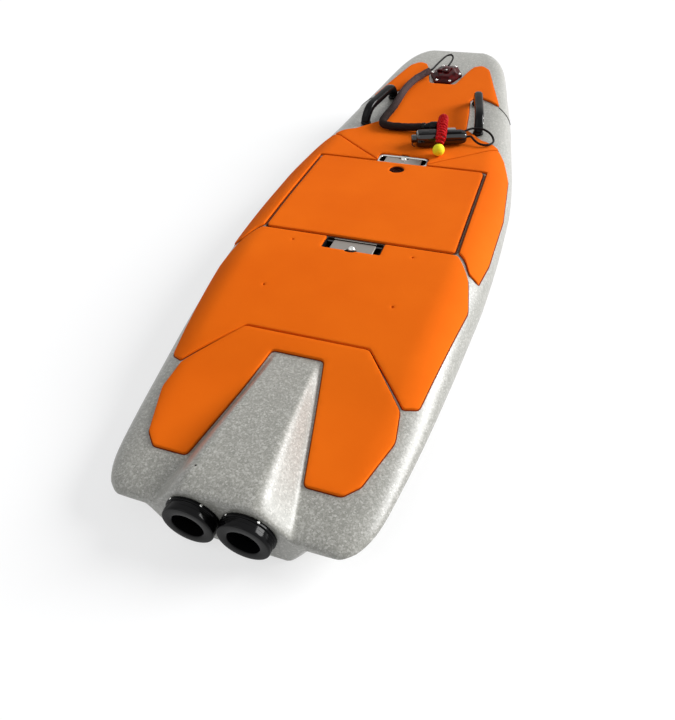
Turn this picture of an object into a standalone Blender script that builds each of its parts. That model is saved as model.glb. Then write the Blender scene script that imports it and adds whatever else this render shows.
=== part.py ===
"""Electric surfboard with twin water jets, deck hatch, battery, grab handles and tethered hand control.

Units are metres. Lengths along the board are measured from the transom towards the bow, widths
from the centreline towards starboard and heights from the flat bottom. An empty at the stern
carries every piece, and puts the origin under the middle of the board.
"""

import math

import bmesh
import bpy
from mathutils import Matrix, Vector

# Hull
LENGTH = 1.86
HALF_WIDTH = 0.303
DECK_HEIGHT = 0.151
SEAT_GAP = 0.0003
CUT_OVERRUN = 0.02

# Stations from transom to nose: length share, width share, then deck, bottom and rail shares of height
STATION_SHARES = (
    (0.000, 0.637, 0.450, 0.000, 0.371),
    (0.010, 0.706, 0.497, 0.000, 0.377),
    (0.034, 0.772, 0.536, 0.000, 0.384),
    (0.072, 0.815, 0.583, 0.000, 0.397),
    (0.125, 0.861, 0.656, 0.000, 0.411),
    (0.200, 0.911, 0.821, 0.000, 0.437),
    (0.270, 0.950, 0.921, 0.000, 0.457),
    (0.350, 0.987, 0.980, 0.000, 0.477),
    (0.450, 1.000, 1.000, 0.000, 0.490),
    (0.520, 0.997, 0.993, 0.000, 0.503),
    (0.600, 0.960, 0.987, 0.013, 0.543),
    (0.700, 0.871, 1.026, 0.079, 0.636),
    (0.780, 0.792, 1.099, 0.185, 0.742),
    (0.850, 0.700, 1.192, 0.331, 0.874),
    (0.900, 0.637, 1.258, 0.477, 0.980),
    (0.940, 0.578, 1.305, 0.623, 1.060),
    (0.970, 0.505, 1.331, 0.768, 1.126),
    (0.990, 0.403, 1.338, 0.901, 1.179),
    (1.000, 0.264, 1.298, 1.033, 1.212),
)
LOFT_SHARES = (
    0.0, 0.008, 0.022, 0.045, 0.072, 0.105, 0.140, 0.1763, 0.215, 0.270, 0.330, 0.390, 0.450, 0.510,
    0.570, 0.620, 0.670, 0.720, 0.765, 0.810, 0.845, 0.875, 0.905, 0.930, 0.952, 0.970, 0.984, 0.994,
    1.0,
)
RAIL_ROLL_SHARE = 0.30
LOWER_ROLL_SHARE = 0.26
ROLL_ANGLES = (15, 30, 45, 60, 75, 90)
QUARTER_TURN = 90

# Raised hump over the jets
HUMP_LENGTH = 0.328
HUMP_FRONT_HALF = 0.039
HUMP_FRONT_CREASE = 0.046
HUMP_REAR_HALF = 0.068
HUMP_REAR_CREASE = 0.117
HUMP_REAR_HEIGHT = 0.122
HUMP_CREST_HEIGHT = 0.130
HUMP_CREST_SHARES = (0.10, 0.32)
HUMP_ROUND_SHARE = 0.24
HUMP_TOP_CAP_SHARE = 0.36
HUMP_CREASE_CAP_SHARE = 0.62
FIELD_SHARES = (0.35, 0.7, 1.0)

# Pod that carries the jets, and the raised wings beside it
POD_SHARES = (0.0, 0.30, 0.53, 0.58, 0.64, 0.70, 0.73)
POD_RISE_SHARES = (0.0, 0.0, 0.0, 0.16, 0.55, 0.90, 1.0)
WING_RISE = 0.051
WING_LENGTH = 0.46

# Pads
PAD_THICKNESS = 0.005
PAD_SEAM = 0.004
PAD_CORNER = 0.006
TAIL_PAD_MARGIN = 0.006
TAIL_PAD_CORNER = 0.012
SIDE_GROOVE = 0.0095
END_GROOVE = 0.008
BOW_SEAM_SHARE = 0.62
FITTING_CLEARANCE = 0.0009

# Hatch
HATCH_REAR_SHARE = 0.369
HATCH_LENGTH = 0.3765
SIDE_DECK_WIDTH = 0.0865
HATCH_CORNER = 0.012
HATCH_GAP = 0.004
LID_THICKNESS = 0.014
GASKET_THICKNESS = 0.003
GASKET_WIDTH = 0.010
LEDGE_WIDTH = 0.026
BAY_FLOOR = 0.020
BAY_CORNER = 0.015
VENT_RADIUS = 0.019
VENT_FROM_FRONT = 0.036
VENT_SUNK = 0.002

# Battery
BATTERY_CLEARANCE = 0.012
BATTERY_HEADROOM = 0.024
BATTERY_BEVEL = 0.006

# Latches
LATCH_HALF_LENGTH = 0.065
LATCH_WIDTH = 0.042
LATCH_DEPTH = 0.018
LATCH_WALL = 0.002
LATCH_FROM_HATCH = 0.0025
LEVER_HALF_LENGTH = 0.049
LEVER_WIDTH = 0.036
LEVER_THICKNESS = 0.005
LEVER_SUNK = 0.001
LEVER_GAP = 0.0015
PIN_RADIUS = 0.0021
PIN_FROM_EDGE = 0.0045
FINGER_RADIUS = 0.012
FINGER_FROM_EDGE = 0.0013

# Jets
JET_SPACING = 0.094
JET_HEIGHT = 0.0625
TUBE_OUTER = 0.0425
TUBE_INNER = 0.0405
TUBE_LENGTH = 0.150
STATOR_REAR = 0.012
STATOR_LENGTH = 0.040
STATOR_HUB = 0.014
STATOR_VANES = 5
VANE_THICKNESS = 0.003
ROTOR_CLEARANCE = 0.005
ROTOR_REAR = 0.066
ROTOR_LENGTH = 0.042
ROTOR_HUB = 0.012
ROTOR_BLADES = 4
BLADE_THICKNESS = 0.003
BLADE_TWIST = 50
SHAFT_RADIUS = 0.005
SHAFT_CLEARANCE = 0.0005
FLANGE_RADIUS = 0.0465
FLANGE_THICKNESS = 0.006
NOZZLE_RADIUS = 0.044
NOZZLE_REACH = 0.022
NOZZLE_BORE = 0.027
NOZZLE_RIM = 0.003
DUCT_ANGLE = 26
DUCT_TURN = 0.165
MOTOR_REAR = 0.420
MOTOR_LENGTH = 0.160
MOTOR_RADIUS = 0.038
MOTOR_SIDES = 16
GRILLE_HALF_WIDTH = 0.043
GRILLE_LENGTH = 0.236
GRILLE_REAR = 0.172
GRILLE_THICKNESS = 0.003
GRILLE_CORNER = 0.012
GRILLE_RIM = 0.006
GRILLE_BARS = 5
GRILLE_SLOT_SHARE = 0.62

# Fin boxes
FIN_FROM_CENTRE = 0.070
FIN_REAR = 0.030
FIN_LENGTH = 0.110
FIN_WIDTH = 0.018
FIN_DEPTH = 0.014
FIN_SLOT = 0.006

# Grab handles, placed by shares of half width and length
HANDLE_FRONT_SHARES = (0.4290, 0.7900)
HANDLE_REAR_SHARES = (0.5430, 0.6940)
HANDLE_RADIUS = 0.0122
HANDLE_RISE = 0.038
HANDLE_PROFILE_SHARES = (
    (0.000, 0.26),
    (0.050, 0.62),
    (0.140, 0.91),
    (0.250, 1.00),
    (0.400, 1.00),
    (0.550, 1.00),
    (0.720, 1.00),
    (0.860, 0.95),
    (0.950, 0.70),
    (1.000, 0.26),
)
HANDLE_POINT_SPACING = 0.010
FOOT_RADIUS = 0.0145
FOOT_THICKNESS = 0.005

# Tether plate
PLATE_SHARE = 0.8835
PLATE_HALF_WIDTH = 0.051
PLATE_HALF_LENGTH = 0.061
PLATE_FLAT_HALF = 0.025
FLANGE_HEIGHT = 0.007
CROWN_SHARE = 0.62
CROWN_HEIGHT = 0.006
BOSS_RADIUS = 0.011
BOSS_HEIGHT = 0.006

# Tether and leash
SLEEVE_RADIUS = 0.0115
CLIP_LENGTH = 0.030
CORD_RADIUS = 0.0029
COIL_RADIUS = 0.014
BALL_RADIUS = 0.0158
BALL_PLACE_SHARES = (0.2838, 0.6075)
LEASH_RISE_ANGLE = 50

# Hand control
HANDSET_PLACE_SHARES = (0.2475, 0.6430)
HANDSET_TURN = 19
HANDSET_LENGTH = 0.145
HANDSET_HALF_WIDTH = 0.024
HANDSET_HALF_HEIGHT = 0.019
HANDSET_SIDES = 16
HANDSET_SQUARENESS = 0.55
HANDSET_HEAD_SHARE = 0.445
THUMB_BOSS_RADIUS = 0.0105
THUMB_BOSS_LENGTH = 0.013
BLOCK_NEAR = 0.010
BLOCK_LENGTH = 0.038
BLOCK_FROM_AXIS = 0.012
BLOCK_WIDTH = 0.024
BLOCK_HEIGHT = 0.026
BLOCK_BEVEL = 0.004

# Mesh settings
SMOOTH_ANGLE = 32
FLAT_ANGLE = 0.0005
WELD_DISTANCE = 0.00001
CORNER_LIMIT_SHARE = 0.45
CURVE_STEPS = 16

# Places that follow from the sizes above
ORIGIN_FROM_TRANSOM = (LENGTH - NOZZLE_REACH) / 2
HATCH_REAR = LENGTH * HATCH_REAR_SHARE
HATCH_FRONT = HATCH_REAR + HATCH_LENGTH
HATCH_HALF_WIDTH = HALF_WIDTH - SIDE_DECK_WIDTH
PLATE_CENTRE = LENGTH * PLATE_SHARE

COLOURS = {
    "hull_composite": ((0.48, 0.48, 0.47), 0.45, 0.0),
    "eva_orange": ((0.80, 0.13, 0.006), 0.85, 0.0),
    "gloss_black": ((0.012, 0.012, 0.013), 0.18, 0.0),
    "matte_black": ((0.02, 0.02, 0.021), 0.6, 0.0),
    "grey_metal": ((0.42, 0.42, 0.42), 0.35, 0.8),
    "dark_metal": ((0.10, 0.10, 0.11), 0.4, 0.9),
    "tether_red": ((0.10, 0.005, 0.01), 0.15, 0.0),
    "sleeve_fabric": ((0.035, 0.028, 0.025), 0.8, 0.0),
    "leash_red": ((0.55, 0.01, 0.02), 0.5, 0.0),
    "ball_yellow": ((0.85, 0.85, 0.02), 0.5, 0.0),
    "rubber_black": ((0.015, 0.015, 0.015), 0.8, 0.0),
}


# Scene and helpers


def clear_scene():
    for old in list(bpy.data.objects):
        bpy.data.objects.remove(old, do_unlink=True)


def new_collection(name):
    collection = bpy.data.collections.new(name)
    bpy.context.scene.collection.children.link(collection)
    return collection


clear_scene()
PARTS = new_collection("electric_surfboard")
CUTTERS = new_collection("cutters")
STERN = bpy.data.objects.new("stern_frame", None)
STERN.location = (0, -ORIGIN_FROM_TRANSOM, 0)
PARTS.objects.link(STERN)
MATERIALS = {}


def material(slot):
    if slot not in MATERIALS:
        colour, roughness, metallic = COLOURS[slot]
        made = bpy.data.materials.new(slot)
        made.use_nodes = True
        shader = made.node_tree.nodes["Principled BSDF"]
        shader.inputs["Base Color"].default_value = (*colour, 1.0)
        shader.inputs["Roughness"].default_value = roughness
        shader.inputs["Metallic"].default_value = metallic
        MATERIALS[slot] = made
    return MATERIALS[slot]


def add(name, mesh, slot=None, at=(0, 0, 0)):
    """An object at a place in the stern frame; without a slot it is a cutter or a joined piece."""
    made = bpy.data.objects.new(name, mesh)
    made.parent = STERN
    made.location = at
    if slot:
        mesh.materials.clear()
        mesh.materials.append(material(slot))
        PARTS.objects.link(made)
        mesh.shade_smooth()
        mesh.set_sharp_from_angle(angle=math.radians(SMOOTH_ANGLE))
    else:
        CUTTERS.objects.link(made)
        made.hide_render = True
        made.display_type = "WIRE"
    return made


def mesh_from(work, name):
    bmesh.ops.recalc_face_normals(work, faces=work.faces)
    mesh = bpy.data.meshes.new(name)
    work.to_mesh(mesh)
    work.free()
    return mesh


def boolean(target, other, operation):
    step = target.modifiers.new(operation.lower() + "_" + other.name, "BOOLEAN")
    step.operation = operation
    step.solver = "EXACT"
    step.object = other
    return target


def cut(target, cutter):
    return boolean(target, cutter, "DIFFERENCE")


def join(target, other):
    return boolean(target, other, "UNION")


def keep(target, other):
    return boolean(target, other, "INTERSECT")


def loft(name, rings, slot=None, at=(0, 0, 0)):
    """A closed solid through rings of equally many points, with flat ends."""
    work = bmesh.new()
    rows = [[work.verts.new(p) for p in ring] for ring in rings]
    count = len(rings[0])
    for row, following in zip(rows, rows[1:]):
        for i in range(count):
            k = (i + 1) % count
            work.faces.new((row[i], row[k], following[k]))
            work.faces.new((row[i], following[k], following[i]))
    work.faces.new(rows[0])
    work.faces.new(rows[-1])
    bmesh.ops.dissolve_limit(work, angle_limit=FLAT_ANGLE, verts=work.verts, edges=work.edges)
    return add(name, mesh_from(work, name), slot, at)


def box(name, low, high, slot=None, bevel=0.0, at=(0, 0, 0)):
    work = bmesh.new()
    bmesh.ops.create_cube(work, size=1.0)
    size = Vector(high) - Vector(low)
    middle = (Vector(high) + Vector(low)) / 2
    bmesh.ops.scale(work, vec=size, verts=work.verts)
    bmesh.ops.translate(work, vec=middle, verts=work.verts)
    made = add(name, mesh_from(work, name), slot, at)
    if bevel:
        edge = made.modifiers.new("edges", "BEVEL")
        edge.width = bevel
        edge.segments = 2
    return made


def cylinder(name, radius, start, end, slot=None, sides=24, at=(0, 0, 0)):
    work = bmesh.new()
    line = Vector(end) - Vector(start)
    bmesh.ops.create_cone(
        work,
        cap_ends=True,
        segments=sides,
        radius1=radius,
        radius2=radius,
        depth=line.length,
    )
    turn = line.to_track_quat("Z", "Y").to_matrix().to_4x4()
    middle = Matrix.Translation((Vector(start) + Vector(end)) / 2)
    bmesh.ops.transform(work, matrix=middle @ turn, verts=work.verts)
    return add(name, mesh_from(work, name), slot, at)


def turned(name, profile, slot=None, sides=24, at=(0, 0, 0)):
    """A profile of (radius, distance forward) turned about a line along the board."""
    work = bmesh.new()
    points = [work.verts.new((radius, along, 0)) for radius, along in profile]
    edges = [work.edges.new((a, b)) for a, b in zip(points, points[1:] + points[:1])]
    bmesh.ops.spin(
        work,
        geom=points + edges,
        cent=(0, 0, 0),
        axis=(0, 1, 0),
        angle=2 * math.pi,
        steps=sides,
        use_merge=True,
    )
    bmesh.ops.remove_doubles(work, verts=work.verts, dist=WELD_DISTANCE)
    return add(name, mesh_from(work, name), slot, at)


def evaluated_mesh(made, name):
    """A curve object turned into a mesh with its caps welded; the curve object is removed."""
    bpy.context.view_layer.update()
    graph = bpy.context.evaluated_depsgraph_get()
    mesh = bpy.data.meshes.new_from_object(made.evaluated_get(graph))
    mesh.name = name
    work = bmesh.new()
    work.from_mesh(mesh)
    bmesh.ops.remove_doubles(work, verts=work.verts, dist=WELD_DISTANCE)
    bmesh.ops.recalc_face_normals(work, faces=work.faces)
    work.to_mesh(mesh)
    work.free()
    bpy.data.objects.remove(made, do_unlink=True)
    return mesh


def prism(name, outlines, low, high, slot=None, at=(0, 0, 0)):
    """A flat outline, or an outline with holes, standing from one height to another."""
    curve = bpy.data.curves.new(name, "CURVE")
    curve.dimensions = "2D"
    curve.fill_mode = "BOTH"
    curve.extrude = (high - low) / 2
    for outline in outlines:
        spline = curve.splines.new("POLY")
        spline.points.add(len(outline) - 1)
        spline.use_cyclic_u = True
        for point, (x, y) in zip(spline.points, outline):
            point.co = (x, y, 0, 1)
    guide = bpy.data.objects.new(name + "_outline", curve)
    CUTTERS.objects.link(guide)
    mesh = evaluated_mesh(guide, name)
    mesh.transform(Matrix.Translation((0, 0, (high + low) / 2)))
    return add(name, mesh, slot, at)


def tube(name, points, radius, slot, detail=1, at=(0, 0, 0)):
    """A round bar or cord through the points, with filled caps."""
    curve = bpy.data.curves.new(name, "CURVE")
    curve.dimensions = "3D"
    curve.bevel_depth = radius
    curve.bevel_resolution = detail
    curve.use_fill_caps = True
    spline = curve.splines.new("POLY")
    spline.points.add(len(points) - 1)
    for point, place in zip(spline.points, points):
        point.co = (*place, 1)
    guide = bpy.data.objects.new(name + "_line", curve)
    CUTTERS.objects.link(guide)
    return add(name, evaluated_mesh(guide, name), slot, at)


def rounded(outline, radius, steps=4):
    """The outline with each corner replaced by an arc of about the radius."""
    made = []
    count = len(outline)
    for i, corner in enumerate(outline):
        corner = Vector(corner)
        before = Vector(outline[i - 1]) - corner
        after = Vector(outline[(i + 1) % count]) - corner
        turn = before.angle(after)
        longest = min(before.length, after.length) * CORNER_LIMIT_SHARE
        back = min(radius / math.tan(turn / 2), longest)
        start = corner + before.normalized() * back
        end = corner + after.normalized() * back
        for k in range(steps + 1):
            t = k / steps
            made.append(tuple(start * (1 - t) ** 2 + corner * (2 * t * (1 - t)) + end * t ** 2))
    return made


def rectangle(half_width, rear, front):
    return [(half_width, rear), (half_width, front), (-half_width, front), (-half_width, rear)]


def smooth_curve(points, place):
    """The height at a place on a smooth curve that never overshoots its points."""
    xs = [p[0] for p in points]
    ys = [p[1] for p in points]
    place = min(max(place, xs[0]), xs[-1])
    steps = [b - a for a, b in zip(xs, xs[1:])]
    rises = [(b - a) / h for a, b, h in zip(ys, ys[1:], steps)]
    slopes = [rises[0]]
    for h0, h1, r0, r1 in zip(steps, steps[1:], rises, rises[1:]):
        if r0 * r1 <= 0:
            slopes.append(0.0)
        else:
            a = 2 * h1 + h0
            b = h1 + 2 * h0
            slopes.append((a + b) / (a / r0 + b / r1))
    slopes.append(rises[-1])
    i = 0
    while place > xs[i + 1]:
        i += 1
    t = (place - xs[i]) / steps[i]
    start = (2 * t ** 3 - 3 * t ** 2 + 1) * ys[i] + (t ** 3 - 2 * t ** 2 + t) * steps[i] * slopes[i]
    end = (3 * t ** 2 - 2 * t ** 3) * ys[i + 1] + (t ** 3 - t ** 2) * steps[i] * slopes[i + 1]
    return start + end


def smooth_route(route, spacing):
    """Points at even spacing along a smooth curve through the route's points."""
    points = [Vector(p) for p in route]
    points = [points[0] * 2 - points[1]] + points + [points[-1] * 2 - points[-2]]
    fine = []
    for a, b, c, d in zip(points, points[1:], points[2:], points[3:]):
        for k in range(CURVE_STEPS):
            t = k / CURVE_STEPS
            bend = (a * 2 - b * 5 + c * 4 - d) * t ** 2
            twist = (b * 3 - a - c * 3 + d) * t ** 3
            fine.append((b * 2 + (c - a) * t + bend + twist) / 2)
    fine.append(points[-2])
    travelled = [0.0]
    for a, b in zip(fine, fine[1:]):
        travelled.append(travelled[-1] + (b - a).length)
    count = max(2, round(travelled[-1] / spacing))
    made = []
    i = 0
    for k in range(count + 1):
        goal = travelled[-1] * k / count
        while i < len(fine) - 2 and travelled[i + 1] < goal:
            i += 1
        share = (goal - travelled[i]) / max(travelled[i + 1] - travelled[i], WELD_DISTANCE)
        made.append(fine[i].lerp(fine[i + 1], min(share, 1.0)))
    return made


# Board surfaces


def station(column, y):
    unit = HALF_WIDTH if column == 1 else DECK_HEIGHT
    return smooth_curve([(row[0] * LENGTH, row[column] * unit) for row in STATION_SHARES], y)


def half_width(y):
    return station(1, y)


def deck_height(y):
    return station(2, y)


def bottom_height(y):
    return station(3, y)


def rail_height(y):
    return station(4, y)


def hump_half(y):
    share = max(0.0, 1 - y / HUMP_LENGTH)
    wide = HUMP_FRONT_HALF + (HUMP_REAR_HALF - HUMP_FRONT_HALF) * share
    return min(wide, half_width(y) * HUMP_TOP_CAP_SHARE)


def crease_half(y):
    share = max(0.0, 1 - y / HUMP_LENGTH)
    wide = HUMP_FRONT_CREASE + (HUMP_REAR_CREASE - HUMP_FRONT_CREASE) * share
    return min(wide, half_width(y) * HUMP_CREASE_CAP_SHARE)


def rounded_ramp(t):
    """A ramp from 0 to 1 with both ends rounded."""
    r = HUMP_ROUND_SHARE
    if t <= -r:
        return 0.0
    if t < r:
        return (t + r) ** 2 / (4 * r)
    if t <= 1 - r:
        return t
    if t < 1 + r:
        return 1 - (1 + r - t) ** 2 / (4 * r)
    return 1.0


def hump_rise(x, y):
    if y >= HUMP_LENGTH:
        return 0.0
    near, far = (share * HUMP_LENGTH for share in HUMP_CREST_SHARES)
    crest = smooth_curve(
        [
            (0, HUMP_REAR_HEIGHT),
            (near, HUMP_CREST_HEIGHT),
            (far, HUMP_CREST_HEIGHT),
            (HUMP_LENGTH, deck_height(HUMP_LENGTH)),
        ],
        y,
    )
    across = (abs(x) - hump_half(y)) / (crease_half(y) - hump_half(y))
    return (crest - deck_height(y)) * (1 - rounded_ramp(across))


def deck_surface(x, y):
    """The height of the deck's skin."""
    wide = half_width(y)
    roll = wide * RAIL_ROLL_SHARE
    out = min(max(abs(x) - (wide - roll), 0.0), roll)
    fall = deck_height(y) - rail_height(y)
    return rail_height(y) + fall * math.sqrt(1 - (out / roll) ** 2) + hump_rise(x, y)


def pad_top(x, y):
    return deck_surface(x, y) + SEAT_GAP + PAD_THICKNESS


def deck_section(y):
    """Starboard half of the deck's skin at a station, from the centreline to the rail."""
    wide = half_width(y)
    flat = wide * (1 - RAIL_ROLL_SHARE)
    top = hump_half(y)
    flank = crease_half(y) - top
    r = HUMP_ROUND_SHARE
    inner = top - flank * r
    outer = top + flank * (1 + r)
    places = [0.0, inner / 2, inner]
    places += [top + flank * share for share in (0, r, 1 / 2, 1 - r, 1, 1 + r)]
    places += [outer + (flat - outer) * share for share in FIELD_SHARES]
    section = [(x, deck_surface(x, y)) for x in places]
    fall = deck_height(y) - rail_height(y)
    for angle in ROLL_ANGLES:
        turn = math.radians(angle)
        section.append((flat + (wide - flat) * math.sin(turn), rail_height(y) + fall * math.cos(turn)))
    return section


def bottom_section(y):
    """Starboard half of the bottom's skin at a station, from the centreline to the rail."""
    wide = half_width(y)
    low = bottom_height(y)
    flat = wide * (1 - LOWER_ROLL_SHARE)
    back = min(max(1 - y / WING_LENGTH, 0.0), 1.0)
    rise = WING_RISE * (3 * back ** 2 - 2 * back ** 3)
    section = [(wide * share, low + rise * up) for share, up in zip(POD_SHARES, POD_RISE_SHARES)]
    for angle in ROLL_ANGLES:
        turn = math.radians(angle)
        section.append(
            (
                flat + (wide - flat) * math.sin(turn),
                rail_height(y) - (rail_height(y) - low - rise) * math.cos(turn),
            )
        )
    return section


def full_section(half):
    return [(-x, z) for x, z in reversed(half[1:])] + list(half)


def lifted(section, distance):
    """The section moved outwards so that each facet moves by the same distance."""
    normals = []
    for (x0, z0), (x1, z1) in zip(section, section[1:]):
        normals.append(Vector((z0 - z1, x1 - x0)).normalized())
    moved = []
    for i, (x, z) in enumerate(section):
        before = normals[max(i - 1, 0)]
        after = normals[min(i, len(normals) - 1)]
        both = (before + after) / (1 + before.dot(after))
        moved.append((x + both.x * distance, z + both.y * distance))
    return moved


def stations():
    return [share * LENGTH for share in LOFT_SHARES]


def deck_rings():
    rings = []
    for y in stations():
        section = full_section(deck_section(y))
        section[0] = (section[0][0], section[0][1] + SEAT_GAP / 2)
        section[-1] = (section[-1][0], section[-1][1] + SEAT_GAP / 2)
        rings.append([(x, y, z) for x, z in section])
    return rings


def hull_rings():
    rings = []
    for y in stations():
        section = full_section(bottom_section(y))
        section[0] = (section[0][0], section[0][1] - SEAT_GAP / 2)
        section[-1] = (section[-1][0], section[-1][1] - SEAT_GAP / 2)
        rings.append([(x, y, z) for x, z in section])
    return rings


def pad_sheet():
    """A layer over the whole deck from which one pad is kept."""
    rings = []
    for y in stations():
        section = full_section(deck_section(y))[1:-1]
        under = lifted(section, SEAT_GAP)
        over = lifted(section, SEAT_GAP + PAD_THICKNESS)
        rings.append([(x, y, z) for x, z in under] + [(x, y, z) for x, z in reversed(over)])
    return rings


# Hull and deck


def jet_sides():
    return (("port", -JET_SPACING / 2), ("starboard", JET_SPACING / 2))


def duct_cutters():
    """The pump bores, intake ducts, shaft bores and motor bays."""
    cutters = []
    slope = math.radians(DUCT_ANGLE)
    fall = JET_HEIGHT + CUT_OVERRUN + TUBE_INNER
    for side, x in jet_sides():
        radius = TUBE_OUTER + SEAT_GAP
        start = (x, -CUT_OVERRUN, JET_HEIGHT)
        end = (x, TUBE_LENGTH + SEAT_GAP, JET_HEIGHT)
        cutters.append(cylinder("bore_cut_" + side, radius, start, end))
        line = [
            (x, TUBE_LENGTH - CUT_OVERRUN, JET_HEIGHT),
            (x, DUCT_TURN, JET_HEIGHT),
            (x, DUCT_TURN + fall / math.tan(slope), JET_HEIGHT - fall),
        ]
        cutters.append(tube("duct_cut_" + side, line, TUBE_INNER, None, detail=4))
        cutters.append(
            cylinder(
                "shaft_cut_" + side,
                SHAFT_RADIUS + SHAFT_CLEARANCE,
                (x, DUCT_TURN, JET_HEIGHT),
                (x, MOTOR_REAR + CUT_OVERRUN, JET_HEIGHT),
                sides=16,
            )
        )
    half = JET_SPACING / 2 + MOTOR_RADIUS + ROTOR_CLEARANCE
    cutters.append(
        box(
            "motor_bay_cut",
            (-half, MOTOR_REAR - SEAT_GAP, JET_HEIGHT - MOTOR_RADIUS - SEAT_GAP),
            (
                half,
                MOTOR_REAR + MOTOR_LENGTH + ROTOR_CLEARANCE,
                JET_HEIGHT + MOTOR_RADIUS + ROTOR_CLEARANCE,
            ),
        )
    )
    return cutters


def lid_floor():
    """The level underside of the hatch lid."""
    return min(deck_height(HATCH_REAR), deck_height(HATCH_FRONT)) - LID_THICKNESS


def ledge_height():
    return lid_floor() - GASKET_THICKNESS - 2 * SEAT_GAP


def opening_outline(grow):
    outline = rectangle(HATCH_HALF_WIDTH + grow, HATCH_REAR - grow, HATCH_FRONT + grow)
    return rounded(outline, HATCH_CORNER + max(grow, 0.0))


def bay_outline():
    shrink = LEDGE_WIDTH
    outline = rectangle(HATCH_HALF_WIDTH - shrink, HATCH_REAR + shrink, HATCH_FRONT - shrink)
    return rounded(outline, BAY_CORNER)


def hatch_cutters():
    top = DECK_HEIGHT + CUT_OVERRUN
    opening = prism("opening_cut", [opening_outline(HATCH_GAP)], ledge_height(), top)
    bay = prism("bay_cut", [bay_outline()], BAY_FLOOR, top)
    return opening, bay


def latch_sites():
    """For each latch, its name, the way from the lid outwards, and the recess's edge by the lid."""
    clear = HATCH_GAP + LATCH_FROM_HATCH
    return (("rear", -1, HATCH_REAR - clear), ("front", 1, HATCH_FRONT + clear))


def span(edge, way, near, far):
    """Two distances from an edge, as lengths along the board in rising order."""
    return sorted((edge + way * near, edge + way * far))


def latch_cutters():
    made = []
    for name, way, edge in latch_sites():
        rear, front = span(edge, way, -SEAT_GAP, LATCH_WIDTH + SEAT_GAP)
        high = deck_height(edge)
        wide = LATCH_HALF_LENGTH + SEAT_GAP
        made.append(
            box(
                "latch_cut_" + name,
                (-wide, rear, high - LATCH_DEPTH - SEAT_GAP),
                (wide, front, high + CUT_OVERRUN),
            )
        )
    return made


def grille_cutter(side, x):
    outline = rounded(
        [
            (x + GRILLE_HALF_WIDTH + SEAT_GAP, GRILLE_REAR - SEAT_GAP),
            (x + GRILLE_HALF_WIDTH + SEAT_GAP, GRILLE_REAR + GRILLE_LENGTH + SEAT_GAP),
            (x - GRILLE_HALF_WIDTH - SEAT_GAP, GRILLE_REAR + GRILLE_LENGTH + SEAT_GAP),
            (x - GRILLE_HALF_WIDTH - SEAT_GAP, GRILLE_REAR - SEAT_GAP),
        ],
        GRILLE_CORNER,
    )
    return prism("grille_cut_" + side, [outline], -CUT_OVERRUN, GRILLE_THICKNESS + 2 * SEAT_GAP)


def fin_sites():
    return (("port", -FIN_FROM_CENTRE), ("starboard", FIN_FROM_CENTRE))


def fin_cutter(side, x):
    return box(
        "fin_cut_" + side,
        (x - FIN_WIDTH / 2 - SEAT_GAP, FIN_REAR - SEAT_GAP, -CUT_OVERRUN),
        (x + FIN_WIDTH / 2 + SEAT_GAP, FIN_REAR + FIN_LENGTH + SEAT_GAP, FIN_DEPTH + SEAT_GAP),
    )


def make_shells():
    ducts = duct_cutters()
    opening, bay = hatch_cutters()
    hull = loft("hull_bottom", hull_rings(), "hull_composite")
    for cutter in ducts:
        cut(hull, cutter)
    cut(hull, bay)
    for side, x in fin_sites():
        cut(hull, fin_cutter(side, x))
    for side, x in jet_sides():
        cut(hull, grille_cutter(side, x))
    deck = loft("deck_shell", deck_rings(), "hull_composite")
    for cutter in ducts:
        cut(deck, cutter)
    cut(deck, opening)
    cut(deck, bay)
    for cutter in latch_cutters():
        cut(deck, cutter)


# Pads


def share_outline(shares, long=LENGTH):
    return [(x * HALF_WIDTH, y * long) for x, y in shares]


TAIL_PAD_SHARES = (
    (0.550, 0.262),
    (0.625, 0.335),
    (0.720, 0.624),
    (0.695, 0.800),
    (0.410, 1.129),
)
MID_PAD_REAR_SHARES = ((0.410, 1.141), (0.708, 0.820), (0.790, 0.856))
MID_PAD_SIDE_SHARES = (
    (0.905, 0.2920),
    (0.873, 0.3180),
    (0.855, 0.3315),
    (0.828, 0.3415),
    (0.799, 0.3505),
    (0.772, 0.3580),
)
SIDE_PAD_OUTER_SHARES = (
    (0.786, 0.3650),
    (0.809, 0.3590),
    (0.832, 0.3505),
    (0.854, 0.3430),
    (0.921, 0.3395),
    (0.952, 0.3850),
    (0.965, 0.4900),
    (0.920, 0.5890),
    (0.845, 0.6290),
)
SEAM_END_SHARES = (0.775, 0.6525)
BOW_PAD_SIDE_SHARES = (
    (0.720, 0.6615),
    (0.600, 0.6700),
    (0.424, 0.7020),
    (0.391, 0.7543),
    (0.350, 0.8000),
    (0.395, 0.8172),
    (0.650, 0.7930),
    (0.520, 0.8600),
    (0.428, 0.9120),
    (0.340, 0.9270),
    (0.260, 0.9200),
    (0.220, 0.9030),
    (0.135, 0.8480),
)


def keep_pad(name, outline):
    sheet = loft(name, pad_sheet(), "eva_orange")
    high = deck_height(LENGTH) + DECK_HEIGHT
    return keep(sheet, prism(name + "_shape", [outline], 0, high))


def tail_pad_outline():
    rear = TAIL_PAD_SHARES[0][1] * HUMP_LENGTH
    starboard = [
        (crease_half(HUMP_LENGTH) + TAIL_PAD_MARGIN, HUMP_LENGTH + PAD_SEAM / 2),
        (crease_half(rear) + TAIL_PAD_MARGIN, rear),
    ]
    starboard += share_outline(TAIL_PAD_SHARES, HUMP_LENGTH)
    port = [(-x, y) for x, y in reversed(starboard)]
    return rounded(starboard + port, TAIL_PAD_CORNER)


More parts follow.
